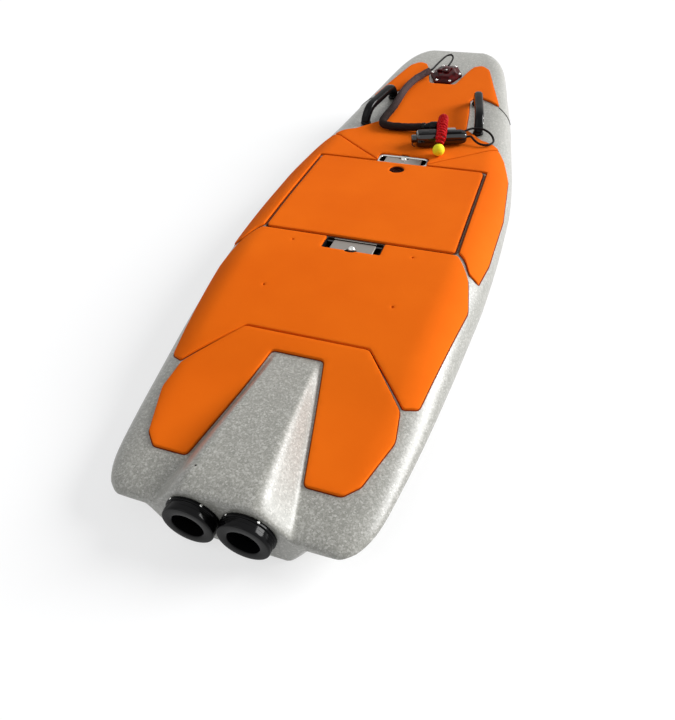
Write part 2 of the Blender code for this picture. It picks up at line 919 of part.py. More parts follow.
def mid_pad_outline():
    front = HATCH_REAR - END_GROOVE
    latch = LATCH_HALF_LENGTH + PAD_SEAM / 2
    latch_rear = HATCH_REAR - HATCH_GAP - LATCH_FROM_HATCH - LATCH_WIDTH - PAD_SEAM / 2
    half = share_outline(MID_PAD_REAR_SHARES, HUMP_LENGTH) + share_outline(MID_PAD_SIDE_SHARES)
    half += [(HATCH_HALF_WIDTH + END_GROOVE, front), (latch, front), (latch, latch_rear)]
    return rounded(half + [(-x, y) for x, y in reversed(half)], PAD_CORNER / 2)


def bow_seam(way):
    """One edge of the seam between side pad and bow pad, from the latch to the rail."""
    shift = way * PAD_SEAM * BOW_SEAM_SHARE
    start = (LATCH_HALF_LENGTH + PAD_SEAM / 2, HATCH_FRONT + END_GROOVE + PAD_SEAM + shift)
    end = (SEAM_END_SHARES[0] * HALF_WIDTH, SEAM_END_SHARES[1] * LENGTH + shift)
    return start, end


def side_pad_outline(sign):
    inner = HATCH_HALF_WIDTH + SIDE_GROOVE
    front = HATCH_FRONT + END_GROOVE
    latch_corner, rail_corner = bow_seam(-1)
    points = [(inner, HATCH_REAR + SIDE_GROOVE / 2)]
    points += share_outline(SIDE_PAD_OUTER_SHARES)
    points += [rail_corner, latch_corner, (latch_corner[0] + PAD_SEAM, front), (inner, front)]
    return rounded([(x * sign, y) for x, y in points], PAD_CORNER / 2)


def bow_pad_outline():
    latch_corner, rail_corner = bow_seam(1)
    latch_front = HATCH_FRONT + HATCH_GAP + LATCH_FROM_HATCH + LATCH_WIDTH + PAD_SEAM / 2
    half = [(latch_corner[0], latch_front), latch_corner, rail_corner]
    half += share_outline(BOW_PAD_SIDE_SHARES)
    return rounded(half + [(-x, y) for x, y in reversed(half)], PAD_CORNER / 2)


def make_pads():
    keep_pad("eva_tail", tail_pad_outline())
    keep_pad("eva_mid", mid_pad_outline())
    keep_pad("eva_side_port", side_pad_outline(-1))
    keep_pad("eva_side_starboard", side_pad_outline(1))
    keep_pad("eva_bow", bow_pad_outline())
    hatch_pad = keep_pad("eva_hatch", opening_outline(0.0))
    high = DECK_HEIGHT + CUT_OVERRUN
    cut(hatch_pad, vent_cylinder("vent_pad_cut", VENT_RADIUS + SEAT_GAP, lid_floor(), high))


# Hatch


def vent_place():
    return HATCH_FRONT - VENT_FROM_FRONT


def vent_cylinder(name, radius, low, high, slot=None):
    return cylinder(name, radius, (0, vent_place(), low), (0, vent_place(), high), slot, sides=32)


def make_hatch():
    lid = loft("hatch_lid", deck_rings(), "hull_composite")
    keep(lid, prism("lid_shape", [opening_outline(0.0)], lid_floor(), DECK_HEIGHT + CUT_OVERRUN))
    cut(lid, vent_cylinder("vent_lid_cut", VENT_RADIUS + SEAT_GAP, 0, DECK_HEIGHT + CUT_OVERRUN))
    vent_top = deck_height(vent_place()) + PAD_THICKNESS - VENT_SUNK
    vent_cylinder("hatch_vent", VENT_RADIUS, lid_floor() + SEAT_GAP, vent_top, "matte_black")
    low = ledge_height() + SEAT_GAP
    prism(
        "hatch_gasket",
        [opening_outline(-GASKET_WIDTH / 2), opening_outline(-GASKET_WIDTH * 1.5)],
        low,
        low + GASKET_THICKNESS,
        "rubber_black",
    )
    inset = LEDGE_WIDTH + BATTERY_CLEARANCE
    wide = HATCH_HALF_WIDTH - inset
    box(
        "battery",
        (-wide, HATCH_REAR + inset, BAY_FLOOR + SEAT_GAP),
        (wide, HATCH_FRONT - inset, ledge_height() - BATTERY_HEADROOM),
        "matte_black",
        bevel=BATTERY_BEVEL,
    )


# Latches


def make_latch(name, way, edge):
    high = deck_height(edge)
    low = high - LATCH_DEPTH
    rear, front = span(edge, way, 0, LATCH_WIDTH)
    cup = box(
        "latch_cup_" + name,
        (-LATCH_HALF_LENGTH, rear, low),
        (LATCH_HALF_LENGTH, front, high),
        "matte_black",
    )
    rear, front = span(edge, way, LATCH_WALL, LATCH_WIDTH - LATCH_WALL)
    cut(
        cup,
        box(
            "latch_cup_cut_" + name,
            (-LATCH_HALF_LENGTH + LATCH_WALL, rear, low + LATCH_WALL),
            (LATCH_HALF_LENGTH - LATCH_WALL, front, high + CUT_OVERRUN),
        ),
    )
    axis_from_edge = LATCH_WALL + LEVER_GAP + PIN_FROM_EDGE
    axis = (0, edge + way * axis_from_edge, high - LEVER_SUNK - LEVER_THICKNESS / 2)
    rear, front = span(0, way, -PIN_FROM_EDGE, LEVER_WIDTH - PIN_FROM_EDGE)
    outline = rounded(rectangle(LEVER_HALF_LENGTH, rear, front), LATCH_WALL)
    lever = prism(
        "latch_lever_" + name,
        [outline],
        -LEVER_THICKNESS / 2,
        LEVER_THICKNESS / 2,
        "grey_metal",
        at=axis,
    )
    outer = way * (LEVER_WIDTH - PIN_FROM_EDGE + FINGER_FROM_EDGE)
    finger = cylinder(
        "finger_cut_" + name,
        FINGER_RADIUS,
        (0, outer, -LEVER_THICKNESS),
        (0, outer, LEVER_THICKNESS),
        sides=24,
        at=axis,
    )
    cut(lever, finger)
    reach = LATCH_HALF_LENGTH - LATCH_WALL - SEAT_GAP
    join(lever, cylinder("latch_pin_" + name, PIN_RADIUS, (-reach, 0, 0), (reach, 0, 0), sides=16, at=axis))


# Jets


def make_grille(side, x):
    rear = GRILLE_REAR
    front = GRILLE_REAR + GRILLE_LENGTH
    outline = rounded(
        [
            (x + GRILLE_HALF_WIDTH, rear),
            (x + GRILLE_HALF_WIDTH, front),
            (x - GRILLE_HALF_WIDTH, front),
            (x - GRILLE_HALF_WIDTH, rear),
        ],
        GRILLE_CORNER,
    )
    pitch = 2 * (GRILLE_HALF_WIDTH - GRILLE_RIM) / GRILLE_BARS
    holes = []
    for k in range(GRILLE_BARS):
        middle = x - GRILLE_HALF_WIDTH + GRILLE_RIM + pitch * (k + 0.5)
        half = pitch * GRILLE_SLOT_SHARE / 2
        holes.append(
            rounded(
                [
                    (middle + half, rear + 2 * GRILLE_RIM),
                    (middle + half, front - 2 * GRILLE_RIM),
                    (middle - half, front - 2 * GRILLE_RIM),
                    (middle - half, rear + 2 * GRILLE_RIM),
                ],
                half * 0.8,
                steps=3,
            )
        )
    prism(
        "intake_grille_" + side,
        [outline] + holes,
        SEAT_GAP,
        SEAT_GAP + GRILLE_THICKNESS,
        "dark_metal",
    )


def blade(inner, outer, length, thickness, twist, steps=5):
    """A flat vane that turns evenly about the shaft along its length, as a closed loft."""
    rings = []
    for k in range(steps + 1):
        share = k / steps
        turn = Matrix.Rotation(math.radians(twist) * (share - 0.5), 3, "Y")
        y = length * share
        corners = (
            (-thickness / 2, y, inner),
            (thickness / 2, y, inner),
            (thickness / 2, y, outer),
            (-thickness / 2, y, outer),
        )
        rings.append([turn @ Vector(c) for c in corners])
    return rings


def make_pump(side, x):
    axis = (x, 0, JET_HEIGHT)
    tube_wall = turned(
        "pump_tube_" + side,
        [
            (TUBE_OUTER, TUBE_LENGTH),
            (TUBE_OUTER, SEAT_GAP),
            (TUBE_INNER, SEAT_GAP),
            (TUBE_INNER, TUBE_LENGTH),
        ],
        "dark_metal",
        at=axis,
    )
    hub = cylinder(
        "stator_hub_" + side,
        STATOR_HUB,
        (0, STATOR_REAR, 0),
        (0, STATOR_REAR + STATOR_LENGTH, 0),
        sides=24,
        at=axis,
    )
    join(tube_wall, hub)
    for k in range(STATOR_VANES):
        rings = blade(
            STATOR_HUB * 0.6,
            (TUBE_INNER + TUBE_OUTER) / 2,
            STATOR_LENGTH - 2 * VANE_THICKNESS,
            VANE_THICKNESS,
            -BLADE_TWIST / 2,
        )
        vane = loft("stator_vane_" + side + "_" + str(k), rings, None, axis)
        vane.location.y += STATOR_REAR + VANE_THICKNESS
        vane.rotation_euler.y = 2 * math.pi * k / STATOR_VANES
        join(tube_wall, vane)
    rotor = cylinder(
        "impeller_" + side,
        ROTOR_HUB,
        (0, ROTOR_REAR, 0),
        (0, ROTOR_REAR + ROTOR_LENGTH, 0),
        "grey_metal",
        sides=24,
        at=axis,
    )
    for k in range(ROTOR_BLADES):
        rings = blade(
            ROTOR_HUB * 0.5,
            TUBE_INNER - ROTOR_CLEARANCE,
            ROTOR_LENGTH - 2 * BLADE_THICKNESS,
            BLADE_THICKNESS,
            BLADE_TWIST,
        )
        wing = loft("impeller_blade_" + side + "_" + str(k), rings, None, axis)
        wing.location.y += ROTOR_REAR + BLADE_THICKNESS
        wing.rotation_euler.y = 2 * math.pi * k / ROTOR_BLADES
        join(rotor, wing)
    join(
        rotor,
        cylinder(
            "impeller_shaft_" + side,
            SHAFT_RADIUS,
            (0, ROTOR_REAR + ROTOR_LENGTH / 2, 0),
            (0, MOTOR_REAR - SEAT_GAP, 0),
            sides=16,
            at=axis,
        ),
    )
    turned(
        "nozzle_ring_" + side,
        [
            (FLANGE_RADIUS, -SEAT_GAP),
            (FLANGE_RADIUS, -FLANGE_THICKNESS),
            (NOZZLE_RADIUS, -FLANGE_THICKNESS),
            (NOZZLE_RADIUS, -NOZZLE_REACH + NOZZLE_RIM),
            (NOZZLE_RADIUS - NOZZLE_RIM, -NOZZLE_REACH),
            (NOZZLE_BORE, -NOZZLE_REACH),
            (NOZZLE_BORE, -SEAT_GAP - NOZZLE_RIM),
            (NOZZLE_BORE + NOZZLE_RIM, -SEAT_GAP),
        ],
        "gloss_black",
        sides=36,
        at=axis,
    )
    cylinder(
        "motor_" + side,
        MOTOR_RADIUS,
        (0, MOTOR_REAR, 0),
        (0, MOTOR_REAR + MOTOR_LENGTH, 0),
        "dark_metal",
        sides=MOTOR_SIDES,
        at=axis,
    )


def make_fin_box(side, x):
    body = box(
        "fin_box_" + side,
        (x - FIN_WIDTH / 2, FIN_REAR, SEAT_GAP),
        (x + FIN_WIDTH / 2, FIN_REAR + FIN_LENGTH, FIN_DEPTH),
        "matte_black",
    )
    rim = (FIN_WIDTH - FIN_SLOT) / 2
    cut(
        body,
        box(
            "fin_slot_" + side,
            (x - FIN_SLOT / 2, FIN_REAR + rim, -CUT_OVERRUN),
            (x + FIN_SLOT / 2, FIN_REAR + FIN_LENGTH - rim, FIN_DEPTH - rim / 2),
        ),
    )


# Deck fittings


def board_place(x_share, y_share):
    return x_share * HALF_WIDTH, y_share * LENGTH


def foot_height(x, y):
    reach = (-FOOT_RADIUS, FOOT_RADIUS)
    return FITTING_CLEARANCE + max(deck_surface(x + a, y + b) for a in reach for b in reach)


def make_handle(side, sign):
    rear_x, rear_y = board_place(sign * HANDLE_REAR_SHARES[0], HANDLE_REAR_SHARES[1])
    front_x, front_y = board_place(sign * HANDLE_FRONT_SHARES[0], HANDLE_FRONT_SHARES[1])
    rear = Vector((rear_x, rear_y, foot_height(rear_x, rear_y)))
    front = Vector((front_x, front_y, foot_height(front_x, front_y)))
    up = Vector((0, 0, HANDLE_RISE))
    arch = [rear.lerp(front, along) + up * share for along, share in HANDLE_PROFILE_SHARES]
    inside = Vector((0, 0, FOOT_THICKNESS / 2))
    line = [rear + inside] + smooth_route(arch, HANDLE_POINT_SPACING) + [front + inside]
    bar = tube("handle_" + side, line, HANDLE_RADIUS, "gloss_black", detail=2)
    for name, foot in (("rear", rear), ("front", front)):
        top = foot + Vector((0, 0, FOOT_THICKNESS))
        join(bar, cylinder("handle_foot_" + side + "_" + name, FOOT_RADIUS, foot, top))


def plate_tilt():
    rise = deck_height(PLATE_CENTRE + PLATE_HALF_LENGTH) - deck_height(PLATE_CENTRE - PLATE_HALF_LENGTH)
    return math.atan2(rise, 2 * PLATE_HALF_LENGTH)


def hexagon(scale):
    wide = PLATE_HALF_WIDTH * scale
    long = PLATE_HALF_LENGTH * scale
    flat = PLATE_FLAT_HALF * scale
    outline = [(wide, 0), (flat, long), (-flat, long), (-wide, 0), (-flat, -long), (flat, -long)]
    return rounded(outline, PAD_CORNER * scale)


def make_tether_plate():
    at = (0, PLATE_CENTRE, deck_height(PLATE_CENTRE) + FITTING_CLEARANCE)
    plate = prism("tether_plate", [hexagon(1)], 0, FLANGE_HEIGHT, "tether_red", at=at)
    crown_top = FLANGE_HEIGHT + CROWN_HEIGHT
    crown = prism("tether_crown", [hexagon(CROWN_SHARE)], FLANGE_HEIGHT / 2, crown_top, at=at)
    boss_top = crown_top + BOSS_HEIGHT
    boss = cylinder("tether_boss", BOSS_RADIUS, (0, 0, crown_top / 2), (0, 0, boss_top), at=at)
    for piece in (plate, crown, boss):
        piece.rotation_euler.x = plate_tilt()
    join(plate, crown)
    join(plate, boss)


# Routes of the cords: shares of half width and length, and height above what the cord lies on

SLEEVE_ROUTE = (
    (-0.165, 0.8670, 0.008),
    (-0.250, 0.8500, 0.002),
    (-0.307, 0.8253, 0.0),
    (-0.333, 0.7957, 0.0),
    (-0.337, 0.7634, 0.0),
    (-0.347, 0.7312, 0.0),
    (-0.363, 0.7043, 0.0),
    (-0.356, 0.6839, 0.0),
    (-0.290, 0.6753, 0.0),
    (-0.191, 0.6742, 0.0),
    (-0.080, 0.6750, 0.001),
    (0.030, 0.6763, 0.0035),
)
PLATE_LOOP_ROUTE = (
    (-0.119, 0.8880, 0.024),
    (-0.089, 0.9065, 0.026),
    (-0.060, 0.9215, 0.027),
    (-0.020, 0.9300, 0.027),
    (0.018, 0.9215, 0.026),
    (0.022, 0.9065, 0.025),
    (0.008, 0.8925, 0.022),
)
COIL_ROUTE = (
    (0.206, 0.6780, 0.022),
    (0.228, 0.6735, 0.036),
    (0.243, 0.6650, 0.051),
    (0.255, 0.6540, 0.060),
    (0.266, 0.6420, 0.059),
    (0.276, 0.6310, 0.051),
)
WRIST_LOOP_ROUTE = (
    (0.5520, 0.6540, 0.0080),
    (0.6050, 0.6500, 0.0035),
    (0.6650, 0.6500, 0.0030),
    (0.7050, 0.6600, 0.0030),
    (0.7030, 0.6715, 0.0040),
    (0.6630, 0.6805, 0.0090),
    (0.6000, 0.6840, 0.0150),
    (0.5300, 0.6825, 0.0180),
    (0.4700, 0.6760, 0.0180),
)


def route_on(surface, route, radius):
    """Places at the height of a cord's line: its own radius and a named height above a surface."""
    made = []
    for x_share, y_share, up in route:
        x, y = board_place(x_share, y_share)
        made.append((x, y, surface(x, y) + SEAT_GAP + radius + up))
    return made


def make_tether():
    line = smooth_route(route_on(pad_top, SLEEVE_ROUTE, SLEEVE_RADIUS), SLEEVE_RADIUS * 2)
    tube("tether_sleeve", line, SLEEVE_RADIUS, "sleeve_fabric", detail=3)
    way = (line[-1] - line[-2]).normalized()
    clip_start = line[-1] + way * SEAT_GAP
    clip_end = clip_start + way * CLIP_LENGTH
    cylinder("leash_clip", SLEEVE_RADIUS, clip_start, clip_end, "gloss_black")
    way = (line[0] - line[1]).normalized()
    start = line[0] + way * SEAT_GAP
    route = [tuple(start), tuple(start + way * SLEEVE_RADIUS)]
    route += route_on(deck_surface, PLATE_LOOP_ROUTE, CORD_RADIUS)
    tube("plate_loop", smooth_route(route, CORD_RADIUS * 5), CORD_RADIUS, "rubber_black")
    way = (clip_end - clip_start).normalized()
    x, y = board_place(*BALL_PLACE_SHARES)
    centre = Vector((x, y, pad_top(x, y) + BALL_RADIUS + SEAT_GAP))
    rise = math.radians(LEASH_RISE_ANGLE)
    out = Vector((0, math.cos(rise), math.sin(rise)))
    meeting = centre + out * (BALL_RADIUS + SEAT_GAP)
    route = [tuple(clip_end + way * COIL_RADIUS)] + route_on(pad_top, COIL_ROUTE, 0)
    route.append(tuple(meeting + out * COIL_RADIUS))
    line = [clip_end + way * SEAT_GAP] + smooth_route(route, COIL_RADIUS) + [meeting]
    tube("leash_coil", line, COIL_RADIUS, "leash_red", detail=3)
    ball = bmesh.new()
    bmesh.ops.create_uvsphere(ball, u_segments=16, v_segments=10, radius=BALL_RADIUS)
    add("leash_ball", mesh_from(ball, "leash_ball"), "ball_yellow", centre)


# Hand control: along share, then width and height shares of its sections

HANDSET_SECTIONS = (
    (-0.445, 0.64, 0.70),
    (-0.430, 0.84, 0.88),
    (-0.385, 0.96, 0.98),
    (-0.300, 1.00, 1.00),
    (-0.120, 1.00, 1.00),
    (-0.020, 0.88, 0.90),
    (0.080, 0.76, 0.82),
    (0.380, 0.76, 0.82),
    (0.450, 0.66, 0.74),
    (0.490, 0.44, 0.52),
    (0.500, 0.20, 0.28),
)


def squared(value):
    """A circle's sine or cosine drawn out towards a square."""
    return math.copysign(abs(value) ** HANDSET_SQUARENESS, value)


def make_handset():
    turn = Matrix.Rotation(math.radians(HANDSET_TURN), 4, "Z")
    x, y = board_place(*HANDSET_PLACE_SHARES)
    rings = []
    for along, wide, high in HANDSET_SECTIONS:
        ring = []
        for k in range(HANDSET_SIDES):
            angle = 2 * math.pi * (k + 0.5) / HANDSET_SIDES
            across = HANDSET_HALF_WIDTH * wide * squared(math.cos(angle))
            up = HANDSET_HALF_HEIGHT * high * squared(math.sin(angle))
            ring.append(turn @ Vector((along * HANDSET_LENGTH, across, up)))
        rings.append(ring)
    low = SEAT_GAP + max(pad_top(x + p.x, y + p.y) - p.z for ring in rings for p in ring)
    at = Vector((x, y, low))
    body = loft("handset", rings, "gloss_black", at)
    head = HANDSET_HEAD_SHARE * HANDSET_LENGTH
    block_end = BLOCK_NEAR + BLOCK_LENGTH
    boss = cylinder("thumb_boss", THUMB_BOSS_RADIUS, (-head - THUMB_BOSS_LENGTH, 0, 0), (0, 0, 0), at=at)
    block = box(
        "handset_block",
        (BLOCK_NEAR, BLOCK_FROM_AXIS, -BLOCK_HEIGHT / 2),
        (block_end, BLOCK_FROM_AXIS + BLOCK_WIDTH, BLOCK_HEIGHT / 2),
        None,
        BLOCK_BEVEL,
        at,
    )
    for piece in (boss, block):
        piece.rotation_euler.z = math.radians(HANDSET_TURN)
        join(body, piece)
    way = turn @ Vector((1, 0, 0))
    grip = at + way * (HANDSET_LENGTH / 2 + SEAT_GAP)
    ring = at + turn @ Vector((block_end + SEAT_GAP, BLOCK_FROM_AXIS + BLOCK_WIDTH / 2, 0))
    return grip, ring, way


def make_wrist_loop(grip, ring, way):
    """The loop from the end of the grip round to the block behind it."""
    lead = way * CORD_RADIUS * 4
    route = [tuple(grip + lead)] + route_on(pad_top, WRIST_LOOP_ROUTE, CORD_RADIUS) + [tuple(ring + lead)]
    line = [grip] + smooth_route(route, CORD_RADIUS * 5) + [ring]
    tube("wrist_loop", line, CORD_RADIUS, "rubber_black")


def main():
    make_shells()
    make_pads()
    make_hatch()
    for name, way, edge in latch_sites():
        make_latch(name, way, edge)
    for side, x in jet_sides():
        make_pump(side, x)
        make_grille(side, x)
    for side, x in fin_sites():
        make_fin_box(side, x)
    make_handle("port", -1)
    make_handle("starboard", 1)
    make_tether_plate()
    make_tether()
    grip, ring, way = make_handset()
    make_wrist_loop(grip, ring, way)


main()
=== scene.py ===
"""Looks for the electric surfboard: smooth skins, foam pads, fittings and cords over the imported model.

Lengths are in metres. Pieces are drawn in board places, measured from the transom towards the bow,
and are moved to the model's frame as they are made.
"""
import math
from math import copysign, cos, pi, radians, sin

import bmesh
import bpy
import numpy as np
from mathutils import Matrix, Vector, noise
from mathutils.geometry import delaunay_2d_cdt


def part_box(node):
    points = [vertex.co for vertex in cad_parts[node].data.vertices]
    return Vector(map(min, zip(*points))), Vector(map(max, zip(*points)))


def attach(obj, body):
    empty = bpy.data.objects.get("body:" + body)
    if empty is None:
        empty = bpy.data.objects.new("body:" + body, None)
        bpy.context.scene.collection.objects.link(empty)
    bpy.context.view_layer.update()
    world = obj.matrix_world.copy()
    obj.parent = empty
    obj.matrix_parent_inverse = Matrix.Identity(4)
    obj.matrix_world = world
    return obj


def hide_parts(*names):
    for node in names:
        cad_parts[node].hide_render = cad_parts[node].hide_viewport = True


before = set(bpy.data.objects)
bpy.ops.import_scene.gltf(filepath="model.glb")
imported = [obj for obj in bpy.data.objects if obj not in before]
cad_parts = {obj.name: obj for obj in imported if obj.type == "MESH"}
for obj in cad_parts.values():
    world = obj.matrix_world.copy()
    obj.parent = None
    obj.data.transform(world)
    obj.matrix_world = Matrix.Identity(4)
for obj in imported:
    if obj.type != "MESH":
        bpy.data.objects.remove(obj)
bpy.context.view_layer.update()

# Sizes repeated from the part
LENGTH = 1.86
HALF_WIDTH = 0.303
DECK_HEIGHT = 0.151
ORIGIN = 0.919
GAP = 0.0003
PAD_THICKNESS = 0.005
PAD_SEAM = 0.004
STATION_SHARES = (
    (0.000, 0.637, 0.450, 0.000, 0.371),
    (0.010, 0.706, 0.497, 0.000, 0.377),
    (0.034, 0.772, 0.536, 0.000, 0.384),
    (0.072, 0.815, 0.583, 0.000, 0.397),
    (0.125, 0.861, 0.656, 0.000, 0.411),
    (0.200, 0.911, 0.821, 0.000, 0.437),
    (0.270, 0.950, 0.921, 0.000, 0.457),
    (0.350, 0.987, 0.980, 0.000, 0.477),
    (0.450, 1.000, 1.000, 0.000, 0.490),
    (0.520, 0.997, 0.993, 0.000, 0.503),
    (0.600, 0.960, 0.987, 0.013, 0.543),
    (0.700, 0.871, 1.026, 0.079, 0.636),
    (0.780, 0.792, 1.099, 0.185, 0.742),
    (0.850, 0.700, 1.192, 0.331, 0.874),
    (0.900, 0.637, 1.258, 0.477, 0.980),
    (0.940, 0.578, 1.305, 0.623, 1.060),
    (0.970, 0.505, 1.331, 0.768, 1.126),
    (0.990, 0.403, 1.338, 0.901, 1.179),
    (1.000, 0.264, 1.298, 1.033, 1.212),
)
RAIL_ROLL = 0.30
LOWER_ROLL = 0.26
HUMP_LENGTH = 0.328
HUMP_HALF = (0.039, 0.068)
CREASE_HALF = (0.046, 0.117)
HUMP_CREST = (0.122, 0.130)
HATCH_REAR = LENGTH * 0.369
HATCH_FRONT = HATCH_REAR + 0.3765
HATCH_HALF = HALF_WIDTH - 0.0865
HATCH_GAP = 0.004
SIDE_GROOVE = 0.0095
END_GROOVE = 0.008
TAIL_PAD_MARGIN = 0.006
LATCH_HALF = 0.065
LATCH_WIDTH = 0.042
LATCH_FROM_HATCH = 0.0025
PLATE_CENTRE = LENGTH * 0.8835
SIDES = (("port", -1), ("starboard", 1))
JETS = (("port", -0.047), ("starboard", 0.047))
JET_HEIGHT = 0.0625


# Curves and surfaces of the board


def smooth_table(xs, ys):
    """A smooth curve through a table that never overshoots it, for arrays of places."""
    xs = np.array(xs, float)
    ys = np.array(ys, float)
    step = np.diff(xs)
    rise = np.diff(ys) / step
    slope = np.empty(len(xs))
    slope[0], slope[-1] = rise[0], rise[-1]
    for i in range(1, len(xs) - 1):
        if rise[i - 1] * rise[i] <= 0:
            slope[i] = 0.0
        else:
            a = 2 * step[i] + step[i - 1]
            b = step[i] + 2 * step[i - 1]
            slope[i] = (a + b) / (a / rise[i - 1] + b / rise[i])

    def at(place):
        place = np.clip(place, xs[0], xs[-1])
        i = np.clip(np.searchsorted(xs, place, side="left") - 1, 0, len(step) - 1)
        h = step[i]
        t = (place - xs[i]) / h
        start = (2 * t**3 - 3 * t**2 + 1) * ys[i] + (t**3 - 2 * t**2 + t) * h * slope[i]
        end = (3 * t**2 - 2 * t**3) * ys[i + 1] + (t**3 - t**2) * h * slope[i + 1]
        return start + end

    return at


TABLE = np.array(STATION_SHARES)
half_width = smooth_table(TABLE[:, 0] * LENGTH, TABLE[:, 1] * HALF_WIDTH)
deck_height = smooth_table(TABLE[:, 0] * LENGTH, TABLE[:, 2] * DECK_HEIGHT)
bottom_height = smooth_table(TABLE[:, 0] * LENGTH, TABLE[:, 3] * DECK_HEIGHT)
rail_height = smooth_table(TABLE[:, 0] * LENGTH, TABLE[:, 4] * DECK_HEIGHT)
hump_crest = smooth_table(
    (0, 0.10 * HUMP_LENGTH, 0.32 * HUMP_LENGTH, HUMP_LENGTH),
    (HUMP_CREST[0], HUMP_CREST[1], HUMP_CREST[1], deck_height(HUMP_LENGTH)),
)


def hump_edge(y, front_and_rear):
    """Half the hump's width at a place, from its values at the front and at the transom."""
    front, rear = front_and_rear
    return front + (rear - front) * np.maximum(0.0, 1 - y / HUMP_LENGTH)


def hump_half(y):
    return hump_edge(y, HUMP_HALF)


def crease_half(y):
    return hump_edge(y, CREASE_HALF)


CREST_ROUND = 0.30
CREASE_ROUND = 0.13


def rounded_ramp(t):
    """A ramp from 0 to 1 with a wide round at its start and a tight one at its end."""
    r = CREST_ROUND
    q = CREASE_ROUND
    made = np.clip(t, 0.0, 1.0)
    made = np.where(np.abs(t) < r, (t + r) ** 2 / (4 * r), made)
    return np.where(np.abs(t - 1) < q, 1 - (1 + q - t) ** 2 / (4 * q), made)


def deck(x, y):
    """The height of the deck's skin, for arrays of places."""
    x = np.asarray(x, float)
    y = np.asarray(y, float)
    wide = half_width(y)
    roll = wide * RAIL_ROLL
    out = np.clip(np.abs(x) - (wide - roll), 0.0, roll)
    fall = deck_height(y) - rail_height(y)
    across = (np.abs(x) - hump_half(y)) / (crease_half(y) - hump_half(y))
    rise = (hump_crest(y) - deck_height(y)) * (1 - rounded_ramp(across))
    rise = np.where(y >= HUMP_LENGTH, 0.0, rise)
    return rail_height(y) + fall * np.sqrt(np.maximum(0.0, 1 - (out / roll) ** 2)) + rise


def pad_top(x, y):
    return deck(x, y) + GAP + PAD_THICKNESS


# Mesh helpers


def around(sides, offset=0.0):
    """Evenly spaced angles of a full turn."""
    return [2 * pi * (k + offset) / sides for k in range(sides)]


def linked(name, data):
    """A new object in the scene."""
    made = bpy.data.objects.new(name, data)
    bpy.context.scene.collection.objects.link(made)
    return made


def written(work):
    """The mesh of a bmesh, which is freed."""
    mesh = bpy.data.meshes.new("mesh")
    work.to_mesh(mesh)
    work.free()
    return mesh


def mesh_of(points, faces):
    mesh = bpy.data.meshes.new("mesh")
    mesh.from_pydata([tuple(map(float, p)) for p in points], [], [tuple(map(int, f)) for f in faces])
    work = bmesh.new()
    work.from_mesh(mesh)
    bmesh.ops.remove_doubles(work, verts=work.verts, dist=0.000002)
    bmesh.ops.recalc_face_normals(work, faces=work.faces)
    work.to_mesh(mesh)
    work.free()
    return mesh


def at_height(outline, z):
    return [(x, y, z) for x, y in outline]


def grid(rows, ring=True, caps=True):
    """Points and faces of a skin through rows of equally many points."""
    count = len(rows[0])
    points = [p for row in rows for p in row]
    faces = []
    for r in range(len(rows) - 1):
        for i in range(count if ring else count - 1):
            k = (i + 1) % count
            faces.append((r * count + i, r * count + k, (r + 1) * count + k, (r + 1) * count + i))
    if caps and ring:
        faces.append(tuple(range(count)))
        faces.append(tuple((len(rows) - 1) * count + i for i in range(count)))
    return points, faces


def solid(rows):
    return mesh_of(*grid(rows))


def merged(meshes):
    """One mesh of several."""
    work = bmesh.new()
    for mesh in meshes:
        work.from_mesh(mesh)
        bpy.data.meshes.remove(mesh)
    return written(work)


def revolved(profile, place, axis, sides):
    """The profile of (radius, along) at even angles about an axis through a place, back to the first."""
    turn = Vector(axis).normalized().to_track_quat("Z", "Y").to_matrix()
    rows = []
    for a in around(sides):
        row = [turn @ Vector((r * cos(a), r * sin(a), up)) for r, up in profile]
        rows.append([Vector(place) + p for p in row])
    return rows + [rows[0]]


def turned(profile, place, axis=(0, 1, 0), sides=96):
    """A closed profile turned about an axis."""
    return mesh_of(*grid(revolved(profile, place, axis, sides), caps=False))


def lathe(profile, place, axis=(0, 0, 1), sides=48):
    """An open profile that starts and ends on the axis, turned about it."""
    return mesh_of(*grid(revolved(profile, place, axis, sides), ring=False))


def block(low, high, bevel=0.0, segments=3):
    """A box with rounded edges."""
    work = bmesh.new()
    bmesh.ops.create_cube(work, size=1.0)
    bmesh.ops.scale(work, vec=Vector(high) - Vector(low), verts=work.verts)
    bmesh.ops.translate(work, vec=(Vector(high) + Vector(low)) / 2, verts=work.verts)
    if bevel:
        edges = list(work.edges)
        bmesh.ops.bevel(work, geom=edges, offset=bevel, segments=segments, profile=0.5, affect="EDGES")
    return written(work)


def straight_rows(start, end, steps, sides):
    """Rings about a straight line, each a radius and a share of the line."""
    start = Vector(start)
    line = Vector(end) - start
    turn = line.to_track_quat("Z", "Y").to_matrix()
    rows = []
    for r, share in steps:
        centre = start + line * share
        rows.append([centre + turn @ Vector((r * cos(a), r * sin(a), 0)) for a in around(sides)])
    return rows


def drum(radius, start, end, sides=48):
    return solid(straight_rows(start, end, ((radius, 0.0), (radius, 1.0)), sides))


def rounded(outline, radius, steps=8):
    """The outline with each corner replaced by an arc of about the radius."""
    made = []
    count = len(outline)
    for i, corner in enumerate(outline):
        corner = Vector(corner)
        before = Vector(outline[i - 1]) - corner
        after = Vector(outline[(i + 1) % count]) - corner
        turn = before.angle(after)
        reach = radius[i] if isinstance(radius, (list, tuple)) else radius
        back = min(reach / math.tan(turn / 2), before.length * 0.45, after.length * 0.45)
        start = corner + before.normalized() * back
        end = corner + after.normalized() * back
        for k in range(steps + 1):
            t = k / steps
            made.append(tuple(start * (1 - t) ** 2 + corner * (2 * t * (1 - t)) + end * t**2))
    return made


def rectangle(half, rear, front):
    return [(half, rear), (half, front), (-half, front), (-half, rear)]


